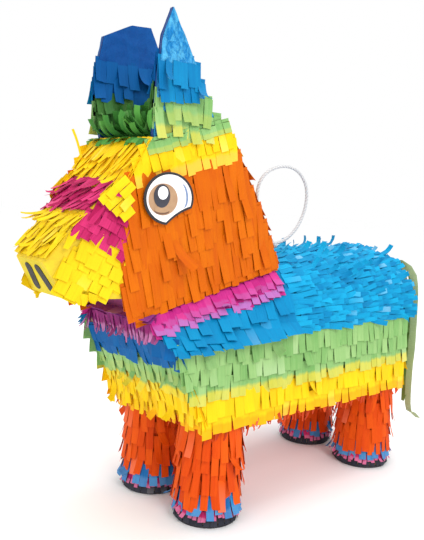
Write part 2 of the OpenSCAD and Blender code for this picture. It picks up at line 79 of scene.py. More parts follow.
def smooth_route(points, steps):
    """Catmull-Rom curve through the points, with so many steps between each two."""
    p = np.array([points[0], *points, points[-1]], float)
    t = np.linspace(0, 1, steps, endpoint=False)[:, None]
    runs = []
    for a, b, c, d in zip(p, p[1:], p[2:], p[3:]):
        cubic = 3 * b - a - 3 * c + d
        runs.append(0.5 * (2 * b + (c - a) * t + (2 * a - 5 * b + 4 * c - d) * t**2 + cubic * t**3))
    return np.concatenate([*runs, p[-1:]])


def add_mesh(name, points, faces, corners=None, **notes):
    """A new mesh object, with a UV map from the corners and one number attribute for each note."""
    mesh = bpy.data.meshes.new(name)
    mesh.from_pydata(points, [], faces)
    if corners is not None:
        flat = np.ascontiguousarray(corners, np.float32).ravel()
        mesh.uv_layers.new(name="paper").data.foreach_set("uv", flat)
    for note, values in notes.items():
        flat = np.asarray(values, np.float32).ravel()
        mesh.attributes.new(note, "FLOAT", "POINT").data.foreach_set("value", flat)
    made = bpy.data.objects.new(name, mesh)
    bpy.context.scene.collection.objects.link(made)
    return made


def only(piece):
    """Selects this piece and nothing else."""
    bpy.ops.object.select_all(action="DESELECT")
    piece.select_set(True)
    bpy.context.view_layer.objects.active = piece


def faces_out(piece):
    """Turns all the faces of this piece outwards."""
    only(piece)
    bpy.ops.object.mode_set(mode="EDIT")
    bpy.ops.mesh.select_all(action="SELECT")
    bpy.ops.mesh.normals_make_consistent(inside=False)
    bpy.ops.object.mode_set(mode="OBJECT")


def distances(points):
    """How far along their route the points lie."""
    return np.concatenate([[0], np.cumsum(np.linalg.norm(np.diff(points, axis=0), axis=1))])


def cord_tube(name, route, sides, steps):
    """Twisted cord: a tube swept along the route, whose section is a ring of plies that turns."""
    groove = 0.14
    path = smooth_route(route, steps)
    ahead = unit(np.gradient(path, axis=0))
    side = unit(np.cross((0.0, 1.0, 0.0), ahead))
    up = np.cross(ahead, side)
    turn = np.linspace(0, 2 * math.pi, sides, endpoint=False)[None]
    twist = distances(path)[:, None] * 2 * math.pi / lay_length
    ply = np.cos(plies / 2 * (turn - twist))
    radius = loop_thick / 2 * (1 - groove + groove * np.abs(ply) ** 0.5)
    ring = side[:, None] * (np.cos(turn) * radius)[..., None]
    ring = ring + up[:, None] * (np.sin(turn) * radius)[..., None]
    points = (path[:, None] + ring).reshape(-1, 3)
    k, j = np.meshgrid(np.arange(len(path) - 1), np.arange(sides), indexing="ij")
    n = (j + 1) % sides
    walls = np.stack([k * sides + j, k * sides + n, (k + 1) * sides + n, (k + 1) * sides + j], -1)
    last = (len(path) - 1) * sides
    caps = [list(range(sides))[::-1], list(range(last, last + sides))]
    tube = add_mesh(name, points, walls.reshape(-1, 4).tolist() + caps, ply=ply**2)
    faces_out(tube)
    bpy.ops.object.shade_smooth()
    tube.data.materials.append(cotton_finish)
    return tube, path


def paint(red, green, blue):
    """A colour as seen on a screen, 0 to 255, as the linear colour that a shader takes."""
    shares = (c / 255 for c in (red, green, blue))
    return tuple(((c + 0.055) / 1.055) ** 2.4 if c > 0.04045 else c / 12.92 for c in shares) + (1.0,)


class Term:
    """A node's output that takes part in Python sums: each operator adds its own Math node."""

    def __init__(self, finish, socket):
        self.finish, self.socket = finish, socket

    def sum(self, operation, a, b=0.0, clamp=False):
        return self.finish.add("ShaderNodeMath", {"operation": operation, "use_clamp": clamp}, {0: a, 1: b})

    def __add__(self, other):
        return self.sum("ADD", self, other)

    def __radd__(self, other):
        return self.sum("ADD", other, self)

    def __sub__(self, other):
        return self.sum("SUBTRACT", self, other)

    def __rsub__(self, other):
        return self.sum("SUBTRACT", other, self)

    def __mul__(self, other):
        return self.sum("MULTIPLY", self, other)

    def __rmul__(self, other):
        return self.sum("MULTIPLY", other, self)

    def __gt__(self, other):
        return self.sum("GREATER_THAN", self, other)

    def held(self):
        """Kept between 0 and 1."""
        return self.sum("ADD", self, 0.0, clamp=True)


class Finish:
    """A material: its nodes are added one by one, and dress() sets what its surface shader takes."""

    def __init__(self, name):
        self.material = bpy.data.materials.new(name)
        self.material.use_nodes = True
        self.tree = self.material.node_tree
        self.shader = self.tree.nodes["Principled BSDF"]

    def add(self, kind, settings=None, sockets=None, output=0):
        node = self.tree.nodes.new(kind)
        for setting, value in (settings or {}).items():
            setattr(node, setting, value)
        self.connect(node, sockets or {})
        return Term(self, node.outputs[output])

    def connect(self, node, sockets):
        for socket, value in sockets.items():
            if isinstance(value, Term):
                self.tree.links.new(value.socket, node.inputs[socket])
            else:
                node.inputs[socket].default_value = value

    def blend(self, share, first, second):
        """Colour that goes from the first to the second with the share."""
        return self.add("ShaderNodeMix", {"data_type": "RGBA"}, {0: share, 6: first, 7: second}, 2)

    def note(self, name):
        """The mesh's own number attribute of that name."""
        return self.add("ShaderNodeAttribute", {"attribute_name": name}, output=2)

    def place(self, scale=(1, 1, 1), source="Object"):
        """Object coordinates or the UV map, stretched by the scale."""
        spot = self.add("ShaderNodeTexCoord", output=("Generated", "Normal", "UV", "Object").index(source))
        return self.add("ShaderNodeMapping", {}, {"Vector": spot, "Scale": scale})

    def noise(self, where, scale, detail, rough=0.5, warp=0.0):
        sockets = {"Vector": where, "Scale": scale, "Detail": detail, "Roughness": rough}
        return self.add("ShaderNodeTexNoise", {}, sockets | {"Distortion": warp})

    def relief(self, height, depth, strength=1.0):
        """Bump of that depth in metres."""
        return self.add("ShaderNodeBump", {}, {"Height": height, "Distance": depth, "Strength": strength})

    def dress(self, colour, rough, relief=None, **constants):
        self.connect(self.shader, {"Base Color": colour, "Roughness": rough})
        if relief is not None:
            self.connect(self.shader, {"Normal": relief})
        self.connect(self.shader, {name.replace("_", " "): value for name, value in constants.items()})
        return self.material


def cotton():
    """White cotton, with painted shade that greys it in the valleys between its plies, and a random grey
    from its fibre.
    """
    f = Finish("white_cotton")
    fibre = f.noise(f.place(), 900, 3)
    # Painted shade: the grooves between the plies are drawn greyer.
    valley_shade = 1 - f.note("ply")
    colour = f.blend((fibre * 0.5 + valley_shade * 0.5).held(), paint(230, 230, 230), paint(166, 168, 172))
    return f.dress(colour, 0.85, f.relief(fibre, 0.0004), Sheen_Weight=0.2)


cotton_finish = cotton()
hanging_loop, loop_path = cord_tube("white_cord_loop", loop_route, sides=18, steps=14)
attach(hanging_loop, "hanging_loop")
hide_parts("hanging_loop")

# The knot at the loop's foot: three fat wraps of the same cord, pulled down on each other.
knot_low, knot_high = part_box("loop_knot")
knot_middle = np.array((knot_low + knot_high) / 2)
knot_radius = (knot_high.x - knot_low.x) / 2
knot_places = 26
places_per_wrap = 8.6
stack, waist, squash = 1.25, 0.62, 0.9
wraps = []
for k in range(knot_places):
    angle = k * 2 * math.pi / places_per_wrap
    level = (k / (knot_places - 1) - 0.5) * stack
    reach = knot_radius * waist * math.sqrt(1 - 0.5 * level * level)
    place = (reach * math.cos(angle), reach * math.sin(angle), level * knot_radius * squash)
    wraps.append(knot_middle + np.array(place))
knot, _ = cord_tube("loop_knot_wraps", [tuple(p) for p in wraps], sides=14, steps=6)
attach(knot, "hanging_loop")
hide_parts("loop_knot")

# ---- Floor and light ------------------------------------------------------------------------
# A plain white floor lies under the donkey. Soft light falls on it from three large lamps and
# from the white room round it.
bpy.ops.object.select_all(action="DESELECT")
bpy.ops.mesh.primitive_plane_add(size=16, location=(0, 0, -0.0003))
floor = bpy.context.object
floor.name = "studio_floor"
f = Finish("studio_floor")
floor.data.materials.append(f.dress(paint(255, 255, 255), 0.9, Specular_IOR_Level=0.1))


def soft_lamp(name, location, size, watts):
    """A square lamp of that size, aimed at the middle of the donkey."""
    lamp_data = bpy.data.lights.new(name, "AREA")
    lamp_data.size = size
    lamp_data.energy = watts
    lamp = bpy.data.objects.new(name, lamp_data)
    lamp.location = location
    aim = Vector((0, 0, 0.25)) - lamp.location
    lamp.rotation_euler = aim.to_track_quat("-Z", "Y").to_euler()
    bpy.context.scene.collection.objects.link(lamp)


soft_lamp("key_lamp", (-0.5, -1.7, 1.5), 0.8, 15)
soft_lamp("front_lamp", (-1.9, -0.4, 1.0), 1.0, 5)
soft_lamp("top_lamp", (0.3, 0.0, 2.0), 1.0, 10)
room = bpy.data.worlds.new("pale_room")
room.use_nodes = True
room_light = room.node_tree.nodes["Background"].inputs
room_light["Color"].default_value = (1, 1, 1, 1)
room_light["Strength"].default_value = 1.0
bpy.context.scene.world = room
bpy.context.scene.view_settings.view_transform = "Standard"

# ---- Card shell -----------------------------------------------------------------------------
# The donkey is built of grey-brown card: flat panels for the sides, belly, chest and rump, a
# sheet bent over the back, strips round the head, and four tubes for the legs. The panels are
# glued edge to edge. The sides, the back and the head are pasted over with plain tissue first.
board, board_fleck = paint(172, 146, 112), paint(128, 102, 74)
crease_shade = paint(60, 50, 30)
orange_deep = paint(220, 84, 0)
yellow, yellow_deep = paint(248, 214, 22), paint(234, 180, 8)
green_deep = paint(100, 158, 82)
blue_deep = paint(0, 110, 174)
flank_low, flank_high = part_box("left_flank")
half_wide = -flank_low.y
belly_line, side_line = flank_low.z, flank_high.z
bare_inside = half_wide - 0.0015
green_foot = belly_line + 0.042
nape_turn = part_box("crown_strip")[1].z - 0.045


def card(name, face, fleck, rough=0.85):
    """Grey-brown or dyed card, with its pulp showing."""
    f = Finish(name)
    pulp = f.noise(f.place(), 260, 4, 0.7)
    cloud = f.noise(f.place(), 26, 2)
    streak = f.noise(f.place((1, 1, 18)), 60, 3)
    colour = f.blend((pulp * 0.5 + cloud * 0.3 + streak * 0.2).held(), face, fleck)
    return f.dress(colour, (0.1 * pulp + (rough - 0.05)).held(), f.relief(pulp, 0.0004))


def finish_nodes(finish, *names):
    """Gives CAD nodes that stay in view their material."""
    for name in names:
        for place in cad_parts[name].material_slots:
            place.material = finish


def lining(name, low, high, level=0.0, depth=0.0):
    """Card pasted over with plain tissue, of one colour below the level and another above it. It
    is bare board nearer to the middle than depth, on the inside."""
    f = Finish(name)
    spot = f.place()
    fold = f.noise(spot, 120, 3)
    aside = f.add("ShaderNodeSeparateXYZ", {}, {0: spot}, 1)
    height = f.add("ShaderNodeSeparateXYZ", {}, {0: spot}, 2)
    paper = f.blend(height > level, low, high)
    paper = f.blend(fold * 0.5, paper, crease_shade)
    bare = f.blend(fold, board, board_fleck)
    colour = f.blend((aside * aside) > depth**2, bare, paper)
    return f.dress(colour, 0.7, f.relief(fold, 0.0004))


finish_nodes(
    card("grey_board", board, board_fleck), "belly_panel", "chest_panel", "rump_panel", "left_shoulder",
    "right_shoulder", "left_fore_leg", "right_fore_leg", "left_hind_leg", "right_hind_leg",
    "flap_stop_tabs", "tail_patch",
)
finish_nodes(
    lining("side_lining", yellow_deep, green_deep, green_foot, bare_inside),
    "left_flank", "right_flank", "fill_flap",
)
finish_nodes(lining("back_lining", blue_deep, blue_deep), "back_sheet")
finish_nodes(lining("head_lining", orange_deep, orange_deep), "left_head_panel", "right_head_panel")
finish_nodes(lining("nape_lining", orange_deep, yellow, nape_turn), "nape_strip")
finish_nodes(
    lining("muzzle_lining", yellow, yellow), "left_muzzle_panel", "right_muzzle_panel", "face_strip",
)
finish_nodes(lining("crown_lining", green_deep, green_deep), "crown_strip")

# ---- Stick and tie --------------------------------------------------------------------------
# A short round stick lies under the back sheet and takes the pull of the loop, which is tied
# round it with cotton.


def stick_wood():
    """Pale wood with its grain along the stick."""
    f = Finish("stick_wood")
    grain = f.noise(f.place((1, 14, 14)), 60, 4, 0.6)
    colour = f.blend(grain, paint(222, 190, 140), paint(170, 128, 82))
    return f.dress(colour, 0.6, f.relief(grain, 0.0003))


def tie_cotton():
    """Cream cotton wound round the stick."""
    f = Finish("tie_cotton")
    fibre = f.noise(f.place((1, 6, 1)), 500, 3)
    colour = f.blend(fibre, paint(246, 246, 242), paint(188, 186, 180))
    return f.dress(colour, 0.85, f.relief(fibre, 0.0004))


finish_nodes(stick_wood(), "anchor_stick")
finish_nodes(tie_cotton(), "anchor_tie")

# ---- Yellow rows of the body ----------------------------------------------------------------
# Strips of tissue, cut into tabs along one edge and glued on by the uncut edge, each row over the
# top of the one below. Two yellow rows run round the foot of the body, and three narrower ones
# across the chest.
orange = paint(240, 114, 4)
header_above, header_below, header_off = 0.004, 0.007, 0.0006
header_thick, tab_thick = 0.0003, 0.00022
end_seam = 0.3


def cut_strip(across, along, tip=1.0):
    """One tab, modelled flat: a unit wide, root at y = 0 and tip at y = 1, a unit thick."""
    bpy.ops.object.select_all(action="DESELECT")
    bpy.ops.mesh.primitive_grid_add(x_subdivisions=across, y_subdivisions=along, size=1, location=(0, 0, 0))
    strip = bpy.context.object
    bpy.ops.object.mode_set(mode="EDIT")
    bpy.ops.mesh.extrude_region_move(TRANSFORM_OT_translate={"value": (0, 0, 1)})
    bpy.ops.mesh.select_all(action="SELECT")
    bpy.ops.transform.translate(value=(0, 0.5, -0.5))
    bpy.ops.mesh.normals_make_consistent(inside=False)
    bpy.ops.object.mode_set(mode="OBJECT")
    mesh = strip.data
    points = np.array([v.co for v in mesh.vertices])
    points[:, 0] *= 1 - (1 - tip) * points[:, 1]
    stops, stop = np.unique(points[:, 1].round(5), return_inverse=True)
    shape = {"points": points, "stops": stops, "stop": stop.ravel()}
    shape["faces"] = np.array([list(p.vertices) for p in mesh.polygons])
    bpy.data.objects.remove(strip)
    return shape


square_tab = cut_strip(2, 5, 0.97)
spike = cut_strip(1, 7, 0.35)
header = cut_strip(1, 1)


def bent(shape, root, down, out, wide, long, thick, lift, curl, bow, twist, cup):
    """Copies of one strip, one for each root: bent off the surface by lift and curl, sideways by
    bow, turned about its own length by twist, and hollowed by cup. Angles are in radians."""
    stops, stop, points = shape["stops"], shape["stop"], shape["points"]
    side = np.cross(down, out)
    middle = (stops[1:] + stops[:-1]) / 2
    off = lift[:, None] + curl[:, None] * middle**1.5
    sway = bow[:, None] * middle
    step = np.diff(stops) * long[:, None]

    def gone(share):
        return np.pad(np.cumsum(share * step, 1), ((0, 0), (1, 0)))[:, stop, None]

    along = gone(np.cos(off) * np.cos(sway))
    aside = gone(np.cos(off) * np.sin(sway))
    up = gone(np.sin(off))
    t = stops[stop]
    off = (lift[:, None] + curl[:, None] * t**1.5)[..., None]
    turn = (twist[:, None] * t)[..., None]
    down, out, side, root = (v[:, None] for v in (down, out, side, root))
    face = out * np.cos(off) - down * np.sin(off)
    width = side * np.cos(turn) + face * np.sin(turn)
    face = face * np.cos(turn) - side * np.sin(turn)
    x, z = points[:, 0], points[:, 2]
    rise = z * thick + cup[:, None] * (1 - 4 * x**2) * t
    centre = root + down * along + side * aside + out * up
    return centre + width * (x * wide[:, None])[..., None] + face * rise[..., None]


def drape(guide, toward, *nodes):
    """Where a guide line lands on the card when it is moved toward it: one run of points and
    outward directions for each stretch that meets the card."""
    runs, run, trees = [], [], []
    reach = 0.6
    for name in nodes:
        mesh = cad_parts[name].data
        corners = [v.co for v in mesh.vertices]
        trees.append(BVHTree.FromPolygons(corners, [tuple(p.vertices) for p in mesh.polygons]))
    toward = np.broadcast_to(unit(np.array(toward, float)), np.shape(guide))
    for point, way in zip(guide, toward):
        hits = [tree.ray_cast(Vector(point), Vector(way), reach) for tree in trees]
        hits = [h for h in hits if h[0] is not None]
        if hits:
            place, out, _, _ = min(hits, key=lambda h: h[3])
            run.append((place, out if out.dot(Vector(way)) < 0 else -out))
        elif run:
            runs.append(run)
            run = []
    if run:
        runs.append(run)
    return [(np.array([p for p, _ in r]), np.array([o for _, o in r])) for r in runs if len(r) > 2]


def line(a, b, step=0.002):
    """Points along a straight guide."""
    count = max(3, int(math.dist(a, b) / step))
    return np.linspace(a, b, count)


def row(run, hang, pitch, long, wide=0.0105, shape=square_tab, lift=9, curl=6, stray=0.05,
        under=0.0, rise=0.0012, ragged=1.0, fill=1.0, over=(0.003, 0.003), seam=-0.15):
    """One row of a band. pitch is how far it shows, wide and long are the size of its tabs, and
    over is how far it runs past the two ends of its run. Lift and curl are in degrees. stray is
    the share of tabs that go their own way, ragged is how uneven the others are, and fill is how
    closely they stand. under is how much of the paper beneath shows through the tips, rise is
    how far the roots stand off the card, and seam is how light the uncut part looks: below nought
    it is painted darker, as shade under the tabs."""
    return dict(run=run, hang=np.array(hang, float), pitch=pitch, long=long, wide=wide, shape=shape,
                lift=lift, curl=curl, stray=stray, under=under, rise=rise, ragged=ragged, fill=fill,
                over=over, seam=seam)


def read_off(at, along, values):
    """What a run's values are at those distances along it."""
    return np.stack([np.interp(at, along, column) for column in values.T], 1)


def seats(r, where, out):
    """The places of one run's tabs: their roots, the way they face and hang, and their spacing."""
    spare = 0.03
    near = 3
    window = np.ones(2 * near + 1) / (2 * near + 1)
    before = where[0] - unit(where[1] - where[0]) * spare
    after = where[-1] + unit(where[-1] - where[-2]) * spare
    where = np.concatenate([[before], where, [after]])
    out = np.concatenate([out[:1], out, out[-1:]])
    along = distances(where)
    start, stop = spare - r["over"][0], along[-1] - spare + r["over"][1]
    if stop - start < r["wide"] / 2:
        return None
    count = max(1, round((stop - start) / r["wide"] * r["fill"]))
    pace = (stop - start) / count
    at = start + (np.arange(count) + 0.5) * pace
    padded = np.pad(out, ((near, near), (0, 0)), "edge")
    soft = np.stack([np.convolve(column, window, "valid") for column in padded.T], 1)
    face = unit(read_off(at, along, soft))
    down = unit(r["hang"] - face * (face @ r["hang"])[:, None])
    return read_off(at, along, where), face, down, count, pace


def band(name, rows, finish, seed, body="shell", nodes=()):
    """One piece of fringe: for every row its uncut header, and its tabs over the row below."""
    chance = np.random.default_rng(seed)
    points, faces, corners, tint, drop, under = [], [], [], [], [], []
    total = 0

    def keep(shape, placed, shade, wide, long, below):
        nonlocal total
        count, size = placed.shape[:2]
        first = (total + np.arange(count) * size)[:, None, None]
        flat = shape["points"][:, :2] * np.stack([wide, long], -1)[:, None]
        flat = flat + chance.uniform(0, 1, (count, 1, 2))
        points.append(placed.reshape(-1, 3))
        faces.append((shape["faces"][None] + first).reshape(-1, 4))
        corners.append(flat[:, shape["faces"].ravel()].reshape(-1, 2))
        tint.append(np.repeat(shade, size))
        drop.append(np.tile(shape["points"][:, 1], count))
        under.append(np.repeat(below, size))
        total += count * size

    for r, run in ((r, run) for r in rows for run in r["run"]):
        placed = seats(r, *run)
        if placed is None:
            continue
        seat, face, down, count, pace = placed
        flat = np.zeros(count)
        cover = np.full(count, r["pitch"] + header_below)
        base = seat + face * header_off - down * header_above
        plain = np.full(count, pace * 1.04)
        # The uncut part's tint: below nought it is painted shade under the tabs, and at both ends of a run
        # it is lighter.
        seam = np.full(count, r["seam"])
        seam[[0, -1]] = end_seam
        strip = bent(header, base, down, face, plain, cover, header_thick, flat, flat, flat, flat, flat)
        keep(header, strip, seam, plain, cover, flat)
        wild = chance.random(count) < r["stray"]
        some = r["ragged"]

        def off_true(most, stray):
            return chance.normal(0, most * some, count) + wild * chance.normal(0, stray, count)

        wide = pace * chance.uniform(0.93, 1.1, count) / min(1.0, r["fill"] ** 0.5)
        long = r["long"] * chance.uniform(1 - 0.14 * some, 1 + 0.08 * some, count)
        lift = chance.normal(r["lift"], 2.5 * some, count) + wild * chance.uniform(0, 12, count)
        curl = chance.normal(r["curl"], 7 * some, count) + wild * chance.uniform(15, 75, count)
        lean, bow, twist = off_true(3, 14), off_true(5, 16), off_true(7, 28)
        lift, curl, lean, bow, twist = np.radians((lift, curl, lean, bow, twist))
        cup = wide * chance.normal(0.03, 0.035, count)
        side = np.cross(down, face)
        way = down * np.cos(lean)[:, None] + side * np.sin(lean)[:, None]
        base = seat + face * (r["rise"] + chance.uniform(0, 0.0007, count))[:, None]
        base = base + down * (chance.normal(0, 0.0008 * some, count))[:, None]
        tabs = bent(r["shape"], base, way, face, wide, long, tab_thick, lift, curl, bow, twist, cup)
        keep(r["shape"], tabs, chance.random(count), wide, long, np.full(count, r["under"]))
    points, faces, corners, tint, drop, under = map(
        np.concatenate, (points, faces, corners, tint, drop, under))
    piece = add_mesh(name, points, faces, corners, tint=tint, drop=drop, under=under)
    only(piece)
    bpy.ops.object.shade_smooth_by_angle(angle=math.radians(50))
    piece.data.materials.append(finish)
    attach(piece, body)
    if nodes:
        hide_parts(*nodes)


def tissue(name, light, deep, below, spread=0.5, glints=0.3):
    """Thin dyed paper: fine wrinkles along each tab, each tab a little lighter or darker, and the
    colour beneath showing through where under is set. The tabs are painted a little lighter
    towards their tips. Uncut parts whose tint is below nought are painted with the shade under
    the tabs, and the lightest tabs get painted glints near their tips, as strong as glints."""
    f = Finish(name)
    tint, drop = f.note("tint"), f.note("drop")
    grain = f.noise(f.place((420, 14, 1), "UV"), 1.0, 3, 0.6)
    crease = f.noise(f.place((150, 70, 1), "UV"), 1.0, 2, 0.5)
    cloud = f.noise(f.place(), 40, 2)
    # drop paints each tab a little lighter towards its tip.
    tone = tint * spread + grain * 0.7 + cloud * 0.5 + drop * 0.1
    tone = (tone - (0.1 + spread / 2)).held()
    # Painted shade: uncut parts whose tint is below nought are drawn darker, towards 0.35 of the deep
    # colour.
    shadow = tuple(0.35 * c for c in deep[:3]) + (1.0,)
    colour = f.blend((0.0 - tint).held(), f.blend(tone, deep, light), shadow)
    # Painted glints: the lightest tabs are drawn paler towards their tips.
    pale = tuple(0.55 * c + 0.45 for c in light[:3]) + (1.0,)
    shine = ((tint - 0.93) * 9.0).held() * (drop * 1.2).held() * glints
    colour = f.blend(shine, colour, pale)
    over = ((drop + crease * 0.2 - 0.6) * 7).held() * f.note("under")
    colour = f.blend(over * (0.75 + 0.4 * crease), colour, below)
    wrinkles = f.relief(grain * 0.35 + crease, 0.0009, 0.6)
    return f.dress(colour, (0.5 + 0.2 * grain).held(), wrinkles, Specular_IOR_Level=0.12)


# Guides for the rows start this far out, at the ends and at the sides, and then move to the card.
far = 0.5
past_side = 0.2
downward = (0.0, 0.0, -1.0)
flat_tabs = dict(wide=0.0115, lift=5, curl=2, stray=0.035, ragged=0.8, over=(0.006, 0.005))
flank_nodes = {-1: ("left_flank",), 1: ("right_flank",)}
short_end = -0.001


def side_rows(levels, start=-far, end=far, sides=(-1, 1), nodes=None, **kind):
    """Level rows on the flat sides. They stop short where an opening breaks them."""
    made = []
    for z in levels:
        for s in sides:
            guide = line((start, s * far, z), (end, s * far, z))
            runs = drape(guide, (0, -s, 0), *(nodes or flank_nodes[s]))
            for k, run in enumerate(runs):
                start_over, end_over = kind["over"]
                over = (short_end if k > 0 else start_over, short_end if k < len(runs) - 1 else end_over)
                made.append(row([run], downward, **(kind | dict(over=over))))
    return made


def chest_rows(levels, sag=0.0, **kind):
    """Rows of thin spikes across the chest, which leans out over its own foot. They were pasted
    by eye: at the right corner they are lower by the sag, at the left one higher."""
    drop = sag * past_side / half_wide
    made = []
    for z in levels:
        guide = line((-far, -past_side, z + drop), (-far, past_side, z - drop))
        made.append(row(drape(guide, (1, 0, 0), "chest_panel"), downward, **kind))
    return made


patch_low, patch_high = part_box("tail_patch")


def rump_rows(levels, **kind):
    """Rows across the rump, parted where the tail is fixed."""
    made = []
    for z in levels:
        gap = patch_high.y + 0.002 if z > patch_low.z - 0.004 else 0.0
        corner, middle = 0.003, short_end if gap else 0.001
        left = line((far, -past_side, z), (far, -gap, z)), (corner, middle)
        right = line((far, gap, z), (far, past_side, z)), (middle, corner)
        for guide, over in (left, right):
            run = drape(guide, (-1, 0, 0), "rump_panel")
            made.append(row(run, downward, **(kind | dict(over=over))))
    return made


yellow_levels = (belly_line + 0.037, belly_line + 0.018)
yellow_tabs = flat_tabs | dict(pitch=0.019, wide=0.014, stray=0.012)
chest_tabs = dict(sag=0.007, wide=0.0074, lift=9, curl=4, stray=0.07, ragged=1.3, over=(0.005, 0.005))
yellow_paper = tissue("yellow_tissue", yellow, yellow_deep, orange)
band(
    "body_yellow_rows",
    side_rows(yellow_levels[1:], long=0.026, under=0.4, **yellow_tabs)
    + side_rows(yellow_levels[:1], long=0.027, **yellow_tabs)
    + chest_rows((belly_line + 0.013,), pitch=0.014, long=0.025, under=0.35, **chest_tabs)
    + chest_rows((belly_line + 0.024,), pitch=0.014, long=0.03, **chest_tabs)
    + chest_rows((belly_line + 0.038,), pitch=0.017, long=0.03, **chest_tabs)
    + rump_rows(yellow_levels, pitch=0.019, long=0.026),
    yellow_paper, 11, nodes=("body_yellow_fringe",),
)

# ---- Green rows of the body -----------------------------------------------------------------
# Three rows of sage-green tissue over the yellow, cut and glued in the same way. The paper is
# thin, so the lowest row looks yellow where it hangs over the yellow. Short tabs clear the flap.
green = paint(160, 198, 128)
green_paper = tissue("green_tissue", green, green_deep, yellow)
green_levels = (belly_line + 0.075, belly_line + 0.056)
top_level = (side_line - 0.0005,)
top_tabs = flat_tabs | dict(pitch=0.019, long=0.026)
flap_low, flap_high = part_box("fill_flap")
flap_gap = 0.0085
flap_head_tabs = dict(
    pitch=0.004, long=side_line - flap_high.z - 0.0032, wide=0.0115, lift=3, curl=0, stray=0,
    ragged=0.3, over=(0.001, 0.001),
)
band(
    "body_green_rows",
    side_rows(green_levels[1:], pitch=0.019, long=0.027, under=0.5, **flat_tabs)
    + side_rows(green_levels[:1], pitch=0.019, long=0.027, **flat_tabs)
    + side_rows(top_level, sides=(-1,), **top_tabs)
    + side_rows(top_level, sides=(1,), end=flap_low.x - flap_gap, **top_tabs)
    + side_rows(top_level, sides=(1,), start=flap_high.x + flap_gap, **top_tabs)
    + side_rows(top_level, sides=(1,), start=flap_low.x, end=flap_high.x, **flap_head_tabs)
    + chest_rows((belly_line + 0.052,), pitch=0.016, long=0.026, under=0.8, **chest_tabs)
    + chest_rows((belly_line + 0.067,), pitch=0.016, long=0.026, under=0.1, **chest_tabs)
    + rump_rows((side_line, *green_levels), pitch=0.019, long=0.026),
    green_paper, 12, nodes=("body_green_fringe",),
)

# ---- Rows on the filling flap ---------------------------------------------------------------
# The flap in the right side carries its own pieces of the green and yellow rows, cut off at its
# edges, so that they lift with it.
flap_tabs = dict(sides=(1,), nodes=("fill_flap",), stray=0, over=(short_end, short_end))
flap_levels = (flap_high.z - 0.0042, green_levels[0] - 0.006, green_levels[1])
band(
    "flap_rows",
    side_rows(flap_levels, pitch=0.012, long=0.022, wide=0.0115, lift=4, curl=1, **flap_tabs),
    green_paper, 13, body="fill_flap", nodes=("flap_fringe",),
)
band(
    "flap_yellow_rows",
    side_rows(yellow_levels[:1], pitch=0.01, long=0.018, wide=0.014, lift=5, curl=2, **flap_tabs),
    yellow_paper, 14, body="fill_flap",
)

# ---- Blue shoulders -------------------------------------------------------------------------
# Three rows of broad blue tabs wrap the shoulders, where card sheets curve up from the sides to
# the foot of the head. Two rows go on across the chest, painted a deeper blue for the shade that
# the head casts there.
blue = paint(22, 156, 212)
cheek_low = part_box("left_head_panel")[0]
half_head = -cheek_low.y
chin_line = cheek_low.z
neck_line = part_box("back_sheet")[0].x
neck_turn = math.acos(half_head / half_wide)


def chest_front(z):
    """Where the chest's outer face stands at that height."""
    return drape(line((-far, -0.01, z), (-far, 0.01, z)), (1, 0, 0), "chest_panel")[0][0][0][0]


def shoulder_rows(shares, **kind):
    """Rows between the flat side, share 0, and the foot of the head, share 1."""
    made = []
    low, high = side_line + 0.0004, chin_line - 0.002
    front_low, front_high = chest_front(low), chest_front(high)
    for t in shares:
        angle = neck_turn * t
        z = low + (high - low) * t
        x = front_low + (front_high - front_low) * t
        y = half_wide + (half_head - half_wide) * t
        back_y, back_z = half_wide * math.cos(angle), side_line + half_wide * math.sin(angle)
        for s, side in ((-1, "left"), (1, "right")):
            out = unit(np.array((-0.1, s * math.cos(angle * 0.8), math.sin(angle * 0.8))))
            guide = line((x, s * y, z), (neck_line, s * back_y, back_z)) + out * 0.03
            run = drape(guide, -out, f"{side}_shoulder", f"{side}_flank")
            made.append(row(run, downward, **kind))
    return made


broad_tabs = dict(pitch=0.018, wide=0.014, lift=3, curl=0, stray=0.02, ragged=0.7, over=(0.004, 0.009))
blue_paper = tissue("blue_tissue", paint(2, 142, 194), paint(0, 112, 166), green)
band(
    "shoulder_blue_rows",
    shoulder_rows((0.2,), long=0.026, **broad_tabs)
    + shoulder_rows((0.42, 0.62), long=0.028, **broad_tabs),
    blue_paper, 15, nodes=("shoulder_blue_fringe",),
)
chest_blue_tabs = dict(pitch=0.014, long=0.021, wide=0.014, lift=6, curl=2, stray=0, over=(0.005, 0.005))
# The chest's blue is painted darker, for the shade that the head casts on the chest.
band(
    "chest_blue_rows",
    chest_rows((chin_line - 0.041, chin_line - 0.029), sag=0.006, **chest_blue_tabs),
    tissue("chest_shaded_blue_tissue", paint(10, 102, 168), paint(0, 72, 136), blue, 0.4, 0.2),
    18,
)

# ---- Pink neck ------------------------------------------------------------------------------
# Two rows of rose tissue go round the foot of the head, and their tips turn mauve. On the throat
# the rose is painted down to plum, for the shade under the head, and cut into long curved spikes,
# under one lilac strip of short broad tabs.
neck_tabs = dict(pitch=0.019, wide=0.0105, lift=5, curl=2, stray=0.03, ragged=0.9, over=(0.006, 0.003))
throat_spikes = dict(
    shape=spike, sag=0.005, pitch=0.008, wide=0.0066, lift=11, stray=0.08, ragged=1.3,
    over=(0.005, 0.005),
)
throat_tabs = dict(
    pitch=0.008, long=0.017, wide=0.02, lift=9, curl=4, stray=0, ragged=0.3, rise=0.003,
    over=(0.006, 0.006), seam=0.7,
)
lilac = paint(156, 74, 152)
band(
    "neck_pink_rows",
    shoulder_rows((0.84,), long=0.023, under=0.9, **neck_tabs)
    + shoulder_rows((0.97,), long=0.022, under=0.35, **neck_tabs),
    tissue("rose_tissue", paint(212, 58, 146), paint(170, 18, 116), paint(172, 112, 184)),
    16, nodes=("neck_pink_fringe",),
)
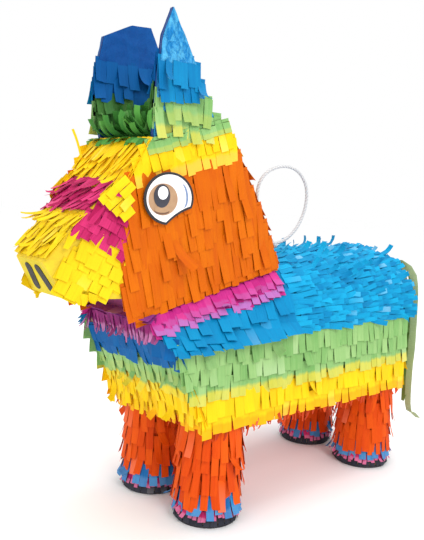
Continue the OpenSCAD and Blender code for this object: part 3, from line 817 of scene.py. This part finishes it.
# Painted shade: the throat's spikes are a darker plum copy of the rose.
band(
    "throat_shaded_rose_rows",
    chest_rows((chin_line - 0.014,), long=0.02, curl=16, under=0.2, **throat_spikes)
    + chest_rows((chin_line - 0.008,), long=0.025, curl=9, under=0.5, **throat_spikes),
    tissue("throat_shaded_rose_tissue", paint(158, 50, 120), paint(100, 10, 84), paint(214, 150, 200)),
    19,
)
band(
    "throat_strip", chest_rows((chin_line - 0.001,), **throat_tabs),
    tissue("lilac_tissue", lilac, paint(118, 44, 122), lilac), 63,
)

# ---- Blue back ------------------------------------------------------------------------------
# Many close rows of narrow blue tabs run over the bent back from side to side. The tabs point to
# the rump and many stand up a little. They are parted where the loop comes through.
rump_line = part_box("rump_panel")[1].x
rump_top = side_line + half_wide
back_pitch = 0.0115


def back_rows(places, pitch, long, **kind):
    """Rows that follow the round of the back, each at one distance from the head. They part where
    the loop comes through, and are short in the middle over the tail."""
    made = []
    tail_parting, loop_parting, near_parting = 0.036, 0.009, 0.0045
    first, top, last, steps = 1, 90, 179, 75
    for x in places:
        past_knot = max(knot_low.x - 0.026 - x, x - knot_high.x - 0.022)
        room = rump_line - x - 0.001
        parting = loop_parting if past_knot < 0 else near_parting if past_knot < 0.03 else 0.0
        gap = math.degrees((tail_parting if room < long else parting) / half_wide)
        arcs = [(first, top - gap, pitch, long), (top + gap, last, pitch, long)]
        if room < long:
            arcs.append((top - gap, top + gap, min(pitch, room - 0.004), room))
        for start, end, shown, tab in arcs:
            angle = np.radians(np.linspace(start, end, steps))
            spoke = np.stack([np.zeros(steps), -np.cos(angle), np.sin(angle)], 1)
            over = (0.003 if start == first else 0.0, 0.003 if end == last else 0.0)
            run = drape((x, 0, side_line) + spoke * past_side, -spoke, "back_sheet")
            made.append(row(run, (1, 0, 0), pitch=shown, long=tab, over=over, **kind))
    return made


back_places = np.arange(rump_line - 0.006, neck_line, -back_pitch)
back_tabs = dict(long=0.025, wide=0.0066, lift=8, curl=6, stray=0.09, ragged=1.2)
rump_levels = [rump_top - drop for drop in (0.002, 0.02, 0.038, 0.056, 0.072)]
# The back's paper carries strong painted glints on its lightest tabs.
band(
    "back_blue_rows",
    back_rows(back_places, pitch=back_pitch, **back_tabs)
    + rump_rows(rump_levels, pitch=0.018, long=0.026),
    tissue("back_blue_tissue", paint(16, 166, 214), paint(0, 114, 170), green, 0.75, 0.6),
    17, nodes=("back_blue_fringe",),
)

# ---- Legs -----------------------------------------------------------------------------------
# Each leg is a card tube with four rows of long red-orange tabs round it. The foot has one row of
# blue, one of thin pink strips and a last one of charcoal paper, over a dark card sole.
legs = ("left_fore", "right_fore", "left_hind", "right_hind")
leg_levels = (0.113, 0.093, 0.073, 0.055)
leg_tabs = dict(pitch=0.02, long=0.034, wide=0.0088, lift=6, curl=4, stray=0.015)
leg_paper = tissue("deep_orange_tissue", paint(232, 92, 12), paint(200, 56, 2), orange, 0.6, 0.25)


def leg_rows(leg, levels, **kind):
    """Rows round one leg tube."""
    name = f"{leg}_leg"
    past_leg, steps = 0.08, 121
    low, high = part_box(name)
    x, y = (low.x + high.x) / 2, (low.y + high.y) / 2
    angle = np.linspace(0, 2 * math.pi, steps)
    ring = np.stack([np.cos(angle), np.sin(angle), np.zeros(steps)], 1)
    return [row(drape(ring * past_leg + (x, y, z), -ring, name), downward, **kind) for z in levels]


def feet_rows(level, **kind):
    """The same row round all four feet."""
    return sum((leg_rows(leg, (level,), **kind) for leg in legs), [])


for seed, leg in enumerate(legs, 20):
    band(
        f"{leg}_orange_rows", leg_rows(leg, leg_levels, **leg_tabs), leg_paper, seed,
        nodes=(f"{leg}_fringe",),
    )
# On the feet the colour showing through the tips is pale: painted highlights on the blue and pink tabs.
band(
    "hoof_blue_rows",
    feet_rows(0.037, pitch=0.018, long=0.025, wide=0.009, under=0.25, lift=9, stray=0.12, ragged=1.3),
    tissue("hoof_blue_tissue", paint(50, 136, 196), paint(10, 80, 150), paint(132, 176, 216)),
    25, nodes=("hoof_blue_fringe",),
)
pink = paint(216, 54, 118)
band(
    "hoof_pink_rows",
    feet_rows(0.021, pitch=0.008, long=0.013, wide=0.005, under=0.35, lift=14, stray=0.12, ragged=1.5),
    tissue("hoof_pink_tissue", pink, paint(170, 14, 82), paint(224, 170, 204)),
    26, nodes=("hoof_pink_fringe",),
)
band(
    "hoof_charcoal_rows",
    feet_rows(0.0125, pitch=0.001, long=0.0105, wide=0.0075, lift=12, curl=0, stray=0, ragged=0.8),
    tissue("charcoal_paper", paint(62, 64, 74), paint(30, 32, 42), orange), 27,
)
sole_board = card("sole_board", paint(62, 60, 66), paint(34, 34, 40))
finish_nodes(sole_board, *(f"{leg}_sole" for leg in legs))

# ---- Orange cheeks --------------------------------------------------------------------------
# The sides of the head carry long orange tabs that lie close and lean back a little, in rows
# that climb to the rear. The same paper goes on down the nape, in level rows.
crown_low, crown_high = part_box("crown_strip")
face_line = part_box("left_muzzle_panel")[1].x
brow_line = crown_high.z - 0.030
orange_top = brow_line - 0.036
head_tilt = math.radians(12.8)
cheek_pitch, cheek_long = 0.0218, 0.052
nape_pitch = 0.0185
head_sides = {-1: ("left_head_panel",), 1: ("right_head_panel",)}
smooth_tabs = dict(wide=0.0105, lift=2.6, curl=0.0, stray=0.012, ragged=0.6, over=(0.010, 0.004))


def slanted_rows(levels, tilt, nodes, end=far, **kind):
    """Rows on the flat sides that climb at the tilt, from their height at the face."""
    made = []
    slope = math.tan(tilt)
    hang = (math.sin(tilt), 0, -math.cos(tilt))
    for level in levels:
        low, high = level + (-far - face_line) * slope, level + (end - face_line) * slope
        for s in (-1, 1):
            guide = line((-far, s * past_side, low), (end, s * past_side, high))
            made.append(row(drape(guide, (0, -s, 0), *nodes[s]), hang, **kind))
    return made


def cheek_rows(level):
    """One row of the cheeks, whose tabs end a little under the foot of the head."""
    long = min(cheek_long, level - chin_line + 0.006)
    return slanted_rows([level], head_tilt, head_sides, pitch=cheek_pitch, long=long, **smooth_tabs)


def strip_rows(places, guide, toward, strip, hang, **kind):
    """Rows straight across one of the strips round the head, each along the guide at its place."""
    return [row(drape(line(guide(p, -0.1), guide(p, 0.1)), toward, strip), hang, **kind) for p in places]


def nape_rows(levels, **kind):
    """Rows across the back of the head, which is bent over from the crown to the withers."""
    return strip_rows(levels, lambda z, y: (far, y, z), (-1, 0, 0), "nape_strip", downward, **kind)


orange_levels = [orange_top - cheek_pitch * k for k in range(7)]
nape_levels = [orange_top + 0.022 - nape_pitch * k for k in range(7)]
band(
    "cheek_orange_rows",
    sum((cheek_rows(level) for level in orange_levels), [])
    + nape_rows(nape_levels, pitch=nape_pitch, long=0.03, lift=8, curl=2),
    tissue("orange_tissue", paint(218, 112, 0), paint(192, 76, 0), yellow, 0.35, 0.0),
    31, nodes=("head_orange_fringe",),
)

# ---- Yellow brow ----------------------------------------------------------------------------
# Two yellow rows run round the head over the orange, and the lower one lets the orange through.
# On the forehead the paper is cut into spikes, which lean a little to the right.
brow_tilt, crown_tilt = math.radians(15), math.radians(16.6)
yellow_brow_paper = tissue("pale_yellow_tissue", yellow, yellow_deep, paint(255, 190, 74))


def face_rows(rises, **kind):
    """Rows across the front of the head, at their rises over the top of the muzzle."""
    levels = [muzzle_top + rise for rise in rises]
    lean = (-0.3, 0.12, -1.0)
    return strip_rows(levels, lambda z, y: (-far, y, z), (1, 0, 0), "face_strip", lean, **kind)


muzzle_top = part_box("left_muzzle_panel")[1].z
shard = cut_strip(1, 5, 0.5)
forehead = dict(
    shape=shard, wide=0.0088, lift=6, curl=6, stray=0.1, ragged=1.6, pitch=0.012,
    over=(0.007, 0.007), seam=0.3,
)
low_brow = dict(pitch=0.016, long=0.027, under=0.75, **smooth_tabs)
high_brow = dict(pitch=0.018, long=0.026, **smooth_tabs)
band(
    "brow_yellow_rows",
    slanted_rows((brow_line - 0.0235,), brow_tilt, head_sides, **low_brow)
    + slanted_rows((brow_line - 0.0125,), crown_tilt, head_sides, **high_brow)
    + nape_rows((brow_line + 0.0265, brow_line + 0.011), pitch=0.0175, long=0.028)
    + face_rows((0.042, 0.034, 0.025, 0.015, 0.005), long=0.032, **forehead),
    yellow_brow_paper, 32, nodes=("head_yellow_fringe",),
)

# ---- Pink and yellow muzzle -----------------------------------------------------------------
# The muzzle's sides close in to the nose. Small square tabs lie on them like scales and point
# down and forward: pink behind, yellow before. Its top has fine spikes like the forehead.
muzzle_sides = {-1: ("left_muzzle_panel", "left_head_panel"), 1: ("right_muzzle_panel", "right_head_panel")}
muzzle_end = face_line + 0.003
muzzle_tilt = math.radians(-28.5)
pink_foot = muzzle_top - 0.071
jaw_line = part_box("left_muzzle_panel")[0].z
pink_scales = dict(
    end=muzzle_end, wide=0.0105, pitch=0.0115, long=0.017, lift=4, curl=3, stray=0.02, ragged=0.9,
    over=(0.002, 0),
)
yellow_pitch = 0.0155
yellow_scales = dict(
    wide=0.0125, pitch=yellow_pitch, lift=3, curl=-2, stray=0, ragged=0.8, seam=0.2, over=(-0.013, 0),
)
brow_tilt_steep = math.radians(-48)
brow_scales = dict(
    end=muzzle_end, wide=0.0095, pitch=0.011, long=0.018, lift=5, curl=0, stray=0, ragged=0.8,
    rise=0.0045, over=(0.006, 0), seam=0.2,
)
jaw_threads = dict(
    end=face_line - 0.028, shape=spike, wide=0.0045, pitch=0.003, long=0.016, lift=14, curl=16,
    stray=0.4, ragged=2.2, fill=0.6, over=(-0.008, 0),
)


def yellow_row(k):
    """The k-th row of yellow scales. It ends before its tips would hang below the jaw."""
    level = pink_foot - 0.001 - yellow_pitch * k
    long = 0.022 if k < 2 else 0.016
    room = face_line - max(0.0, (jaw_line + 0.88 * long - 0.003 - level) / math.tan(-muzzle_tilt))
    end = min(muzzle_end, room)
    return slanted_rows((level,), muzzle_tilt, muzzle_sides, end=end, long=long, **yellow_scales)


magenta_paper = tissue("magenta_tissue", pink, paint(154, 4, 68), paint(255, 150, 60), 0.8, 0.5)
pink_levels = [pink_foot + 0.0115 * k for k in range(5)]
brow_levels = (muzzle_top - 0.034, muzzle_top - 0.022, muzzle_top - 0.01)
white = paint(255, 255, 255)
band(
    "muzzle_pink_rows",
    slanted_rows(pink_levels, muzzle_tilt, muzzle_sides, **pink_scales)
    + face_rows((-0.008, -0.017, -0.027), long=0.025, **forehead),
    magenta_paper, 33, nodes=("muzzle_pink_fringe",),
)
band(
    "muzzle_yellow_rows",
    sum((yellow_row(k) for k in range(6)), [])
    + slanted_rows(brow_levels, brow_tilt_steep, muzzle_sides, **brow_scales)
    + slanted_rows((jaw_line + 0.004,), 0, muzzle_sides, **jaw_threads)
    + face_rows((-0.042, -0.052, -0.062), long=0.026, **forehead)
    + face_rows((-0.072,), long=0.016, **forehead),
    tissue("lemon_tissue", paint(240, 212, 26), paint(222, 182, 10), white, 0.4, 0.25),
    34, nodes=("muzzle_yellow_fringe",),
)

# ---- Nose -----------------------------------------------------------------------------------
# A flat card plate under one sheet of yellow paper closes the muzzle, with two long dark ovals
# stuck on for nostrils. The card under the jaw is pasted over with plum paper.


def smooth_paper(name, light, deep, crinkle=0.0006, scale=120, contrast=1.0):
    """Uncut tissue glued flat on card, with the small wrinkles that the glue leaves. Its colour follows the
    wrinkles: painted light on their ridges and painted shade in their folds, as strong as contrast, over a
    random cloudy tone.
    """
    f = Finish(name)
    fold = f.noise(f.place((1, 1, 0.55)), scale, 4, 0.65, 1.2)
    fine = f.noise(f.place(), 700, 2)
    cloud = f.noise(f.place(), 18, 2)
    # Painted light and shade: the ridges of the wrinkles are drawn lighter and their folds darker.
    tone = ((fold - 0.5) * contrast + cloud * 0.5 + 0.25).held()
    wrinkles = f.relief(fold + 0.2 * fine, crinkle, 0.9)
    rough = (0.45 + 0.25 * fine).held()
    return f.dress(f.blend(tone, deep, light), rough, wrinkles, Specular_IOR_Level=0.15)


finish_nodes(smooth_paper("nose_paper", paint(226, 206, 44), paint(196, 172, 30)), "nose_plate")
finish_nodes(lining("jaw_lining", paint(150, 54, 120), yellow, jaw_line - 0.002), "jaw_strip")
finish_nodes(smooth_paper("nostril_paper", paint(74, 72, 70), paint(48, 46, 46)), "nostrils")

# ---- Ears -----------------------------------------------------------------------------------
# Flat card covered in uncut blue paper: the left one is pointed, the right one broad. Rows of
# blue and then green tabs hang round the foot of each, outside and inside. The paper and the
# blue tabs on the inner faces are painted a deeper blue, as the shade inside the ears.
ear_card = card("blue_card", paint(20, 70, 140), paint(10, 44, 100), 0.6)
finish_nodes(ear_card, "left_ear", "right_ear")
ear_foot = crown_high.z
ear_sides = {"left_ear": -1, "right_ear": 1}
paper_off = 0.0011
wrinkle = 0.003


def cut_with(piece, cutter, operation):
    """Applies a boolean to the piece, and takes the cutter away."""
    only(piece)
    cut = piece.modifiers.new("cut", "BOOLEAN")
    cut.operation = operation
    cut.object = cutter
    cut.solver = "EXACT"
    bpy.ops.object.modifier_apply(modifier=cut.name)
    bpy.data.objects.remove(cutter)


def crinkled_sheet(name, ear, depth, finish, seed):
    """Wrinkled paper at one depth in y, cut to the outline of the ear's card."""
    low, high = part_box(ear)
    middle = (low + high) / 2
    bpy.ops.object.select_all(action="DESELECT")
    bpy.ops.mesh.primitive_grid_add(x_subdivisions=48, y_subdivisions=72, size=1, location=(0, 0, 0),
                                    rotation=(math.pi / 2, 0, 0))
    sheet = bpy.context.object
    sheet.name = name
    bpy.ops.object.transform_apply(location=False, rotation=True, scale=False)
    chance = np.random.default_rng(seed)
    waves = chance.normal(0, 1, (9, 2)) * 260
    phase = chance.uniform(0, 6.28, 9)
    width, height = high.x - low.x + 0.01, high.z - low.z + 0.01
    for v in sheet.data.vertices:
        x, z = v.co.x * width + middle.x, v.co.z * height + middle.z
        wave = np.abs(np.sin(waves @ np.array((x, z)) / 2 + phase)).mean() - 0.6
        v.co = (x, depth + wave * wrinkle, z)
    only(sheet)
    thick = sheet.modifiers.new("paper", "SOLIDIFY")
    thick.thickness = 0.0003
    thick.offset = 0
    bpy.ops.object.modifier_apply(modifier=thick.name)
    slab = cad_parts[ear].copy()
    slab.data = slab.data.copy()
    slab.parent = None
    bpy.context.scene.collection.objects.link(slab)
    only(slab)
    bpy.ops.object.mode_set(mode="EDIT")
    bpy.ops.mesh.select_all(action="SELECT")
    bpy.ops.mesh.remove_doubles(threshold=1e-6)
    bpy.ops.object.mode_set(mode="OBJECT")
    for v in slab.data.vertices:
        v.co.y = depth + (0.004 if v.co.y > middle.y else -0.004)
    cut_with(sheet, slab, "INTERSECT")
    bpy.ops.object.shade_smooth_by_angle(angle=math.radians(40))
    sheet.data.materials.clear()
    sheet.data.materials.append(finish)
    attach(sheet, "shell")


def ear_rows(ear, rises, outside, **kind):
    """Level rows on one face of an ear, at their rises over its foot."""
    side = ear_sides[ear]
    from_y = side * past_side if outside else 0.0
    way = (0, -side if outside else side, 0)
    guides = [line((-far, from_y, z), (far, from_y, z)) for z in (ear_foot + rise for rise in rises)]
    return [row(drape(guide, way, ear), downward, **kind) for guide in guides]


# The outer paper's crinkles carry strong painted light and shade. The inner paper and inner blue tabs are
# darker copies of the outer ones, painted shade, and the inner tabs carry strong painted glints.
outer_paper = smooth_paper("light_blue_paper", paint(86, 182, 228), paint(14, 122, 190), 0.005, 170, 4.0)
inner_paper = smooth_paper("inner_shaded_blue_paper", paint(4, 84, 156), paint(0, 62, 132), 0.002, 60, 1.5)
ear_blue_paper = tissue("ear_blue_tissue", paint(12, 136, 188), paint(0, 98, 158), green)
inner_blue_paper = tissue("inner_shaded_blue_tissue", paint(8, 96, 162), paint(0, 72, 138), green, 0.4, 0.8)
leaf_paper = tissue("leaf_green_tissue", paint(88, 138, 66), paint(34, 88, 38), yellow)
outer_blue = dict(pitch=0.018, wide=0.01, stray=0.2)
outer_green = dict(pitch=0.018, long=0.03)
inner_blue = dict(pitch=0.018, long=0.027, wide=0.013, lift=4, stray=0.06, over=(0.004, 0.004), seam=0.3)
inner_green = dict(pitch=0.02, long=0.026, wide=0.0085, lift=8, fill=0.85)
for ear, seed in (("left_ear", 40), ("right_ear", 50)):
    low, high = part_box(ear)
    side = ear_sides[ear]
    outer_face, inner_face = (low.y, high.y) if side < 0 else (high.y, low.y)
    outer_depth, inner_depth = outer_face + side * paper_off, inner_face - side * paper_off
    crinkled_sheet(f"{ear}_outer_paper", ear, outer_depth, outer_paper, seed)
    crinkled_sheet(f"{ear}_inner_paper", ear, inner_depth, inner_paper, seed + 1)
    band(
        f"{ear}_blue_rows",
        ear_rows(ear, (0.034,), True, long=0.027, lift=9, over=(0.003, 0.007), **outer_blue)
        + ear_rows(ear, (0.050,), True, long=0.028, lift=8, over=(0.003, 0.006), **outer_blue),
        ear_blue_paper, seed + 2, nodes=(f"{ear}_fringe",),
    )
    band(
        f"{ear}_inner_blue_rows", ear_rows(ear, (0.040, 0.056), False, **inner_blue),
        inner_blue_paper, seed + 3,
    )
    band(
        f"{ear}_green_rows",
        ear_rows(ear, (0.002,), True, wide=0.012, under=0.4, lift=5, over=(0.004, 0.012), **outer_green)
        + ear_rows(ear, (0.018,), True, wide=0.011, under=0.15, lift=6, over=(0.003, 0.01), **outer_green),
        green_paper, seed + 4,
    )
    band(
        f"{ear}_inner_green_rows", ear_rows(ear, (0.006, 0.024), False, **inner_green), leaf_paper,
        seed + 5,
    )

# ---- Crown ----------------------------------------------------------------------------------
# Green strips are left loose and curly between the ears, and a short green row on each side of
# the head hides the top edge of the yellow. A few strips have come loose and stand up.


def crown_rows(places, **kind):
    """Rows across the top of the head, whose tabs point forward."""
    above = far + 0.1
    return strip_rows(places, lambda x, y: (x, y, above), (0, 0, -1), "crown_strip", (-1, 0, 0), **kind)


curly_tabs = dict(pitch=0.013, long=0.032, wide=0.007, lift=28, curl=50, stray=0.4, ragged=2.5, seam=0.2)
front_tabs = dict(pitch=0.004, long=0.016, wide=0.008, lift=8, curl=-60, stray=0.2, ragged=1.5, seam=0.3)
edge_tabs = smooth_tabs | dict(
    pitch=0.004, long=0.012, under=0.2, rise=0.001, lift=10, seam=0.3, over=(0.004, 0.004),
)
band(
    "crown_green_rows",
    crown_rows(np.linspace(crown_high.x - 0.006, crown_low.x + 0.012, 7), **curly_tabs)
    + crown_rows((crown_low.x + 0.004,), **front_tabs),
    tissue("dark_green_tissue", paint(92, 160, 66), paint(28, 96, 44), yellow),
    60, nodes=("crown_fringe",),
)
band(
    "crown_edge_rows", slanted_rows((brow_line - 0.0088,), crown_tilt, head_sides, **edge_tabs),
    green_paper, 61,
)


def loose_strips(name, start, end, toward, node, hang, finish, slot, step=0.002, **kind):
    """Strips that have come loose from their row, rooted between the ends of a short guide."""
    run = drape(line(start, end, step), toward, node)
    band(name, [row(run, hang, pitch=0.002, stray=0, over=(0, 0), **kind)], finish, 62)


loose_z = muzzle_top + 0.010
loose_strips(
    "loose_yellow_strip", (-far, 0.044, loose_z), (-far, 0.048, loose_z), (1, 0, 0), "face_strip",
    (0.3, 0.1, 1.0), yellow_brow_paper, "yellow_tissue", step=0.001, wide=0.004, long=0.036, lift=42,
    curl=30,
)
ear_z = ear_foot + 0.046
loose_strips(
    "loose_blue_strip", (crown_high.x - 0.03, 0, ear_z), (crown_high.x - 0.018, 0, ear_z), (0, 1, 0),
    "right_ear", (0.3, 0, 1.0), inner_blue_paper, "blue_tissue", wide=0.012, long=0.04, lift=38, curl=95,
)
rump_z = rump_top - 0.03
loose_strips(
    "loose_rose_strips", (far, -0.074, rump_z), (far, -0.05, rump_z), (-1, 0, 0), "rump_panel",
    downward, magenta_paper, "pink_tissue", wide=0.007, long=0.02, lift=28, curl=10,
)

# ---- Eyes -----------------------------------------------------------------------------------
# Printed card stickers: a white of the eye with a black rim, cut away at the lower rear, a
# brown iris, a dark pupil and a white glint, laid on each other.


def printed(name, light, deep):
    """Glossy printed card, almost of one colour."""
    f = Finish(name)
    speck = f.noise(f.place(), 300, 3)
    cloud = f.noise(f.place(), 55, 2)
    colour = f.blend((speck * 0.3 + cloud * 0.7).held(), deep, light)
    return f.dress(colour, (0.35 + 0.1 * speck).held(), f.relief(speck, 0.0001), Coat_Weight=0.15)


rim_ink = printed("eye_rim_ink", paint(34, 34, 40), paint(18, 18, 24))
eye_white = printed("eye_white", paint(252, 250, 250), paint(244, 234, 238))
iris = printed("iris_brown", paint(196, 160, 122), paint(150, 110, 80))
pupil = printed("pupil_grey", paint(62, 62, 74), paint(34, 34, 46))
glint = printed("eye_glint", paint(255, 255, 255), paint(248, 248, 250))
shade = printed("eye_shade", paint(134, 156, 190), paint(104, 128, 168))
iris_shade = printed("iris_shade", paint(120, 84, 62), paint(92, 62, 46))
bite_middle = (0.0493, -0.0836, 0)
# Each mark on the white of the eye: its finish, how far it lies from the middle towards the rear
# and upwards, its width and height, how far it stands proud, and how far it is turned.
eye_marks = [
    (shade, 0.0166, 0.0031, 0.0145, 0.0250, 0.0006, -0.2),
    (eye_white, 0.0134, 0.0031, 0.0150, 0.0275, 0.0008, -0.2),
    (iris, -0.0082, -0.0011, 0.0365, 0.0318, 0.0010, 0.0),
    (iris_shade, -0.0095, -0.0128, 0.0190, 0.0066, 0.0012, 0.0),
    (iris, -0.0095, -0.0110, 0.0200, 0.0066, 0.0013, 0.0),
    (pupil, -0.0103, 0.0023, 0.0203, 0.0233, 0.0014, 0.0),
    (glint, -0.0094, 0.0054, 0.0127, 0.0132, 0.0016, 0.0),
]


def printed_disc(place, wide, tall, thick, finish, turn=0.0, bite=0.0):
    """A thin disc that stands in the x-z plane, its front towards -y. Where bite is set, the lower
    rear is cut away by the edge of a larger round of that radius."""
    bpy.ops.object.select_all(action="DESELECT")
    bpy.ops.mesh.primitive_cylinder_add(vertices=72, radius=0.5, depth=1, location=(0, 0, 0))
    disc = bpy.context.object
    bpy.ops.object.mode_set(mode="EDIT")
    bpy.ops.mesh.select_all(action="SELECT")
    bpy.ops.transform.resize(value=(wide, tall, thick))
    bpy.ops.object.mode_set(mode="OBJECT")
    if bite:
        bpy.ops.object.select_all(action="DESELECT")
        bpy.ops.mesh.primitive_cylinder_add(vertices=160, radius=bite, depth=0.01, location=bite_middle)
        cut_with(disc, bpy.context.object, "DIFFERENCE")
    disc.data.materials.clear()
    disc.data.materials.append(finish)
    disc.rotation_euler = (math.pi / 2, 0, 0)
    bpy.ops.object.transform_apply(location=False, rotation=True, scale=False)
    disc.rotation_euler = (0, turn, 0)
    disc.location = place
    bpy.ops.object.transform_apply(location=True, rotation=True, scale=False)
    return disc


def eye_sticker(name, node, side):
    """All the layers of one eye, made for the left side of the head and mirrored for the right."""
    low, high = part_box(node)
    x, z = (low.x + high.x) / 2 + 0.003, (low.z + high.z) / 2 - 0.002
    wide, tall = (high.x - low.x) * 1.06, (high.z - low.z) * 1.11
    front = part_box("left_head_panel")[0].y - 0.0078
    layers = [
        printed_disc((x, front, z), wide, tall, 0.0008, rim_ink, bite=0.077),
        printed_disc((x, front - 0.0005, z), wide - 0.0062, tall - 0.005, 0.0004, eye_white, bite=0.0795),
    ]
    for finish, rear, up, mark_wide, mark_tall, proud, turn in eye_marks:
        place = (x + rear, front - proud, z + up)
        layers.append(printed_disc(place, mark_wide, mark_tall, 0.0003, finish, turn))
    bpy.ops.object.select_all(action="DESELECT")
    for layer in layers:
        layer.select_set(True)
    eye = layers[0]
    bpy.context.view_layer.objects.active = eye
    bpy.ops.object.join()
    eye.name = name
    if side > 0:
        eye.scale = (1, -1, 1)
        bpy.ops.object.transform_apply(location=False, rotation=False, scale=True)
        faces_out(eye)
    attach(eye, "shell")
    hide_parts(node)


eye_sticker("left_eye_sticker", "left_eye", -1)
eye_sticker("right_eye_sticker", "right_eye", 1)

# ---- Belly ----------------------------------------------------------------------------------
# One sheet of orange paper is pasted under the belly. Thin red-orange spikes, cut in the edge of
# another strip, hang all round it, close under the yellow rows.
finish_nodes(smooth_paper("belly_paper_orange", paint(224, 84, 28), paint(170, 44, 20)), "belly_paper")
hem = dict(
    shape=spike, wide=0.0055, pitch=0.004, long=0.02, lift=2, curl=-14, stray=0.15, ragged=2.0,
    rise=0.0003, over=(0.003, 0.003),
)
hem_line = (belly_line + 0.004,)
band(
    "belly_hem_spikes",
    side_rows(hem_line, **hem) + chest_rows(hem_line, **hem) + rump_rows(hem_line, **hem),
    tissue("ember_tissue", paint(226, 84, 30), paint(150, 34, 26), orange), 70,
)

# ---- Tail -----------------------------------------------------------------------------------
# Sage-green crepe streamers, gathered in a paper band on a card patch. They stand out from the
# rump, bend over and hang down, and the longest end in a curl.
tail_low, tail_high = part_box("tail_streamers")
band_low, band_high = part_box("tail_band")
streamer = cut_strip(2, 22, 0.8)
leaf_wide, longest_wide = 0.026, 0.011
leaf_tint = -0.5


def sage_crepe():
    """Ribbed sage-green crepe. The leaf, whose tint is below nought, is a stronger green."""
    f = Finish("sage_crepe")
    rib = f.noise(f.place((60, 900, 1), "UV"), 1.0, 2, 0.6)
    tint = f.note("tint")
    colour = f.blend((tint * 0.7 + rib * 0.4 - 0.05).held(), paint(150, 174, 116), paint(200, 212, 172))
    colour = f.blend((0.0 - tint * 1.6).held(), colour, paint(104, 146, 42))
    return f.dress(colour, 0.7, f.relief(rib, 0.0008), Sheen_Weight=0.1)


def tail_streamers(count, seed):
    """Long strips side by side, each one rolled over at the top by its own curl."""
    chance = np.random.default_rng(seed)
    share = (np.arange(count) + 0.5) / count
    across = tail_low.y + (tail_high.y - tail_low.y) * share
    reach = tail_high.x - band_high.x
    foot = band_low.y + 0.003
    foot_wide = band_high.y - band_low.y - 0.006
    points, faces, corners, tint = [], [], [], []
    stops, stop, flat = streamer["stops"], streamer["stop"], streamer["points"]
    for k in range(count):
        from_y = foot + foot_wide * share[k]
        longest, leaf = k == 0, k == 1
        out = reach * (0.3 if longest else chance.uniform(0.18, 0.45))
        fall = 0.97 if longest else 0.86 if leaf else chance.uniform(0.55, 0.88)
        drop = (tail_high.z - tail_low.z) * fall
        tip = 0.03 if longest else chance.uniform(0.002, 0.008) * chance.choice((-1, 1))
        top = band_high.z - (0.009 if longest else chance.uniform(0.003, 0.016))
        aside = across[k] - from_y
        edge, hung = band_high.x, band_high.x + out * 0.95
        route = [
            (edge - 0.001, from_y, top - 0.002),
            (edge + out * 0.45, from_y + aside * 0.34, top + 0.001),
            (edge + out * 0.8, from_y + aside * 0.68, top - 0.004),
            (hung, from_y + aside * 0.92, top - 0.022),
            (edge + out, from_y + aside, top - drop * 0.35),
            (hung + chance.normal(0, 0.002), across[k], top - drop * 0.7),
            (hung + tip * 0.2, across[k] + chance.normal(0, 0.002), top - drop * 0.92),
            (hung + tip * 0.75, across[k] + chance.normal(0, 0.002), top - drop * 0.965),
            (hung + tip, across[k] + chance.normal(0, 0.003), top - drop),
        ]
        path = smooth_route(route, 12)
        run = distances(path)
        long = run[-1]
        centre = read_off(stops * long, run, path)
        ahead = unit(np.gradient(centre, axis=0))
        turn = math.radians(chance.normal(0, 14)) * stops + math.radians(chance.normal(0, 8))
        side = unit(np.cross(ahead, np.cross((0, 1.0, 0), ahead)))
        face = np.cross(side, ahead)
        cos, sin = np.cos(turn)[:, None], np.sin(turn)[:, None]
        side, face = side * cos + face * sin, face * cos - side * sin
        wide = leaf_wide if leaf else longest_wide if longest else chance.uniform(0.011, 0.016)
        x, z = flat[:, 0], flat[:, 2]
        x = x * (0.25 + 0.75 * np.sin(np.pi * stops[stop]**2)) if leaf else x
        ripple = 0.0008 * np.sin(stops * long * 260 + chance.uniform(0, 6))
        rise = z * 0.0003 + ripple[stop] * (0.4 + x)
        faces.append(streamer["faces"] + len(points) * len(flat))
        points.append(centre[stop] + side[stop] * (x * wide)[:, None] + face[stop] * rise[:, None])
        laid = flat[:, :2] * (wide, long) + chance.uniform(0, 1, 2)
        corners.append(laid[streamer["faces"].ravel()])
        tint.append(np.full(len(flat), leaf_tint if leaf else chance.random()))
    points, faces, corners, tint = map(np.concatenate, (points, faces, corners, tint))
    piece = add_mesh("tail_streamers_paper", points, faces, corners, tint=tint)
    faces_out(piece)
    bpy.ops.object.shade_smooth_by_angle(angle=math.radians(50))
    piece.data.materials.append(sage_crepe())
    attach(piece, "tail")
    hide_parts("tail_streamers")


tail_streamers(13, 80)
tail_band_paper = smooth_paper("tail_band_paper", paint(196, 214, 160), paint(140, 168, 102), 0.0008, 160)
finish_nodes(tail_band_paper, "tail_band")
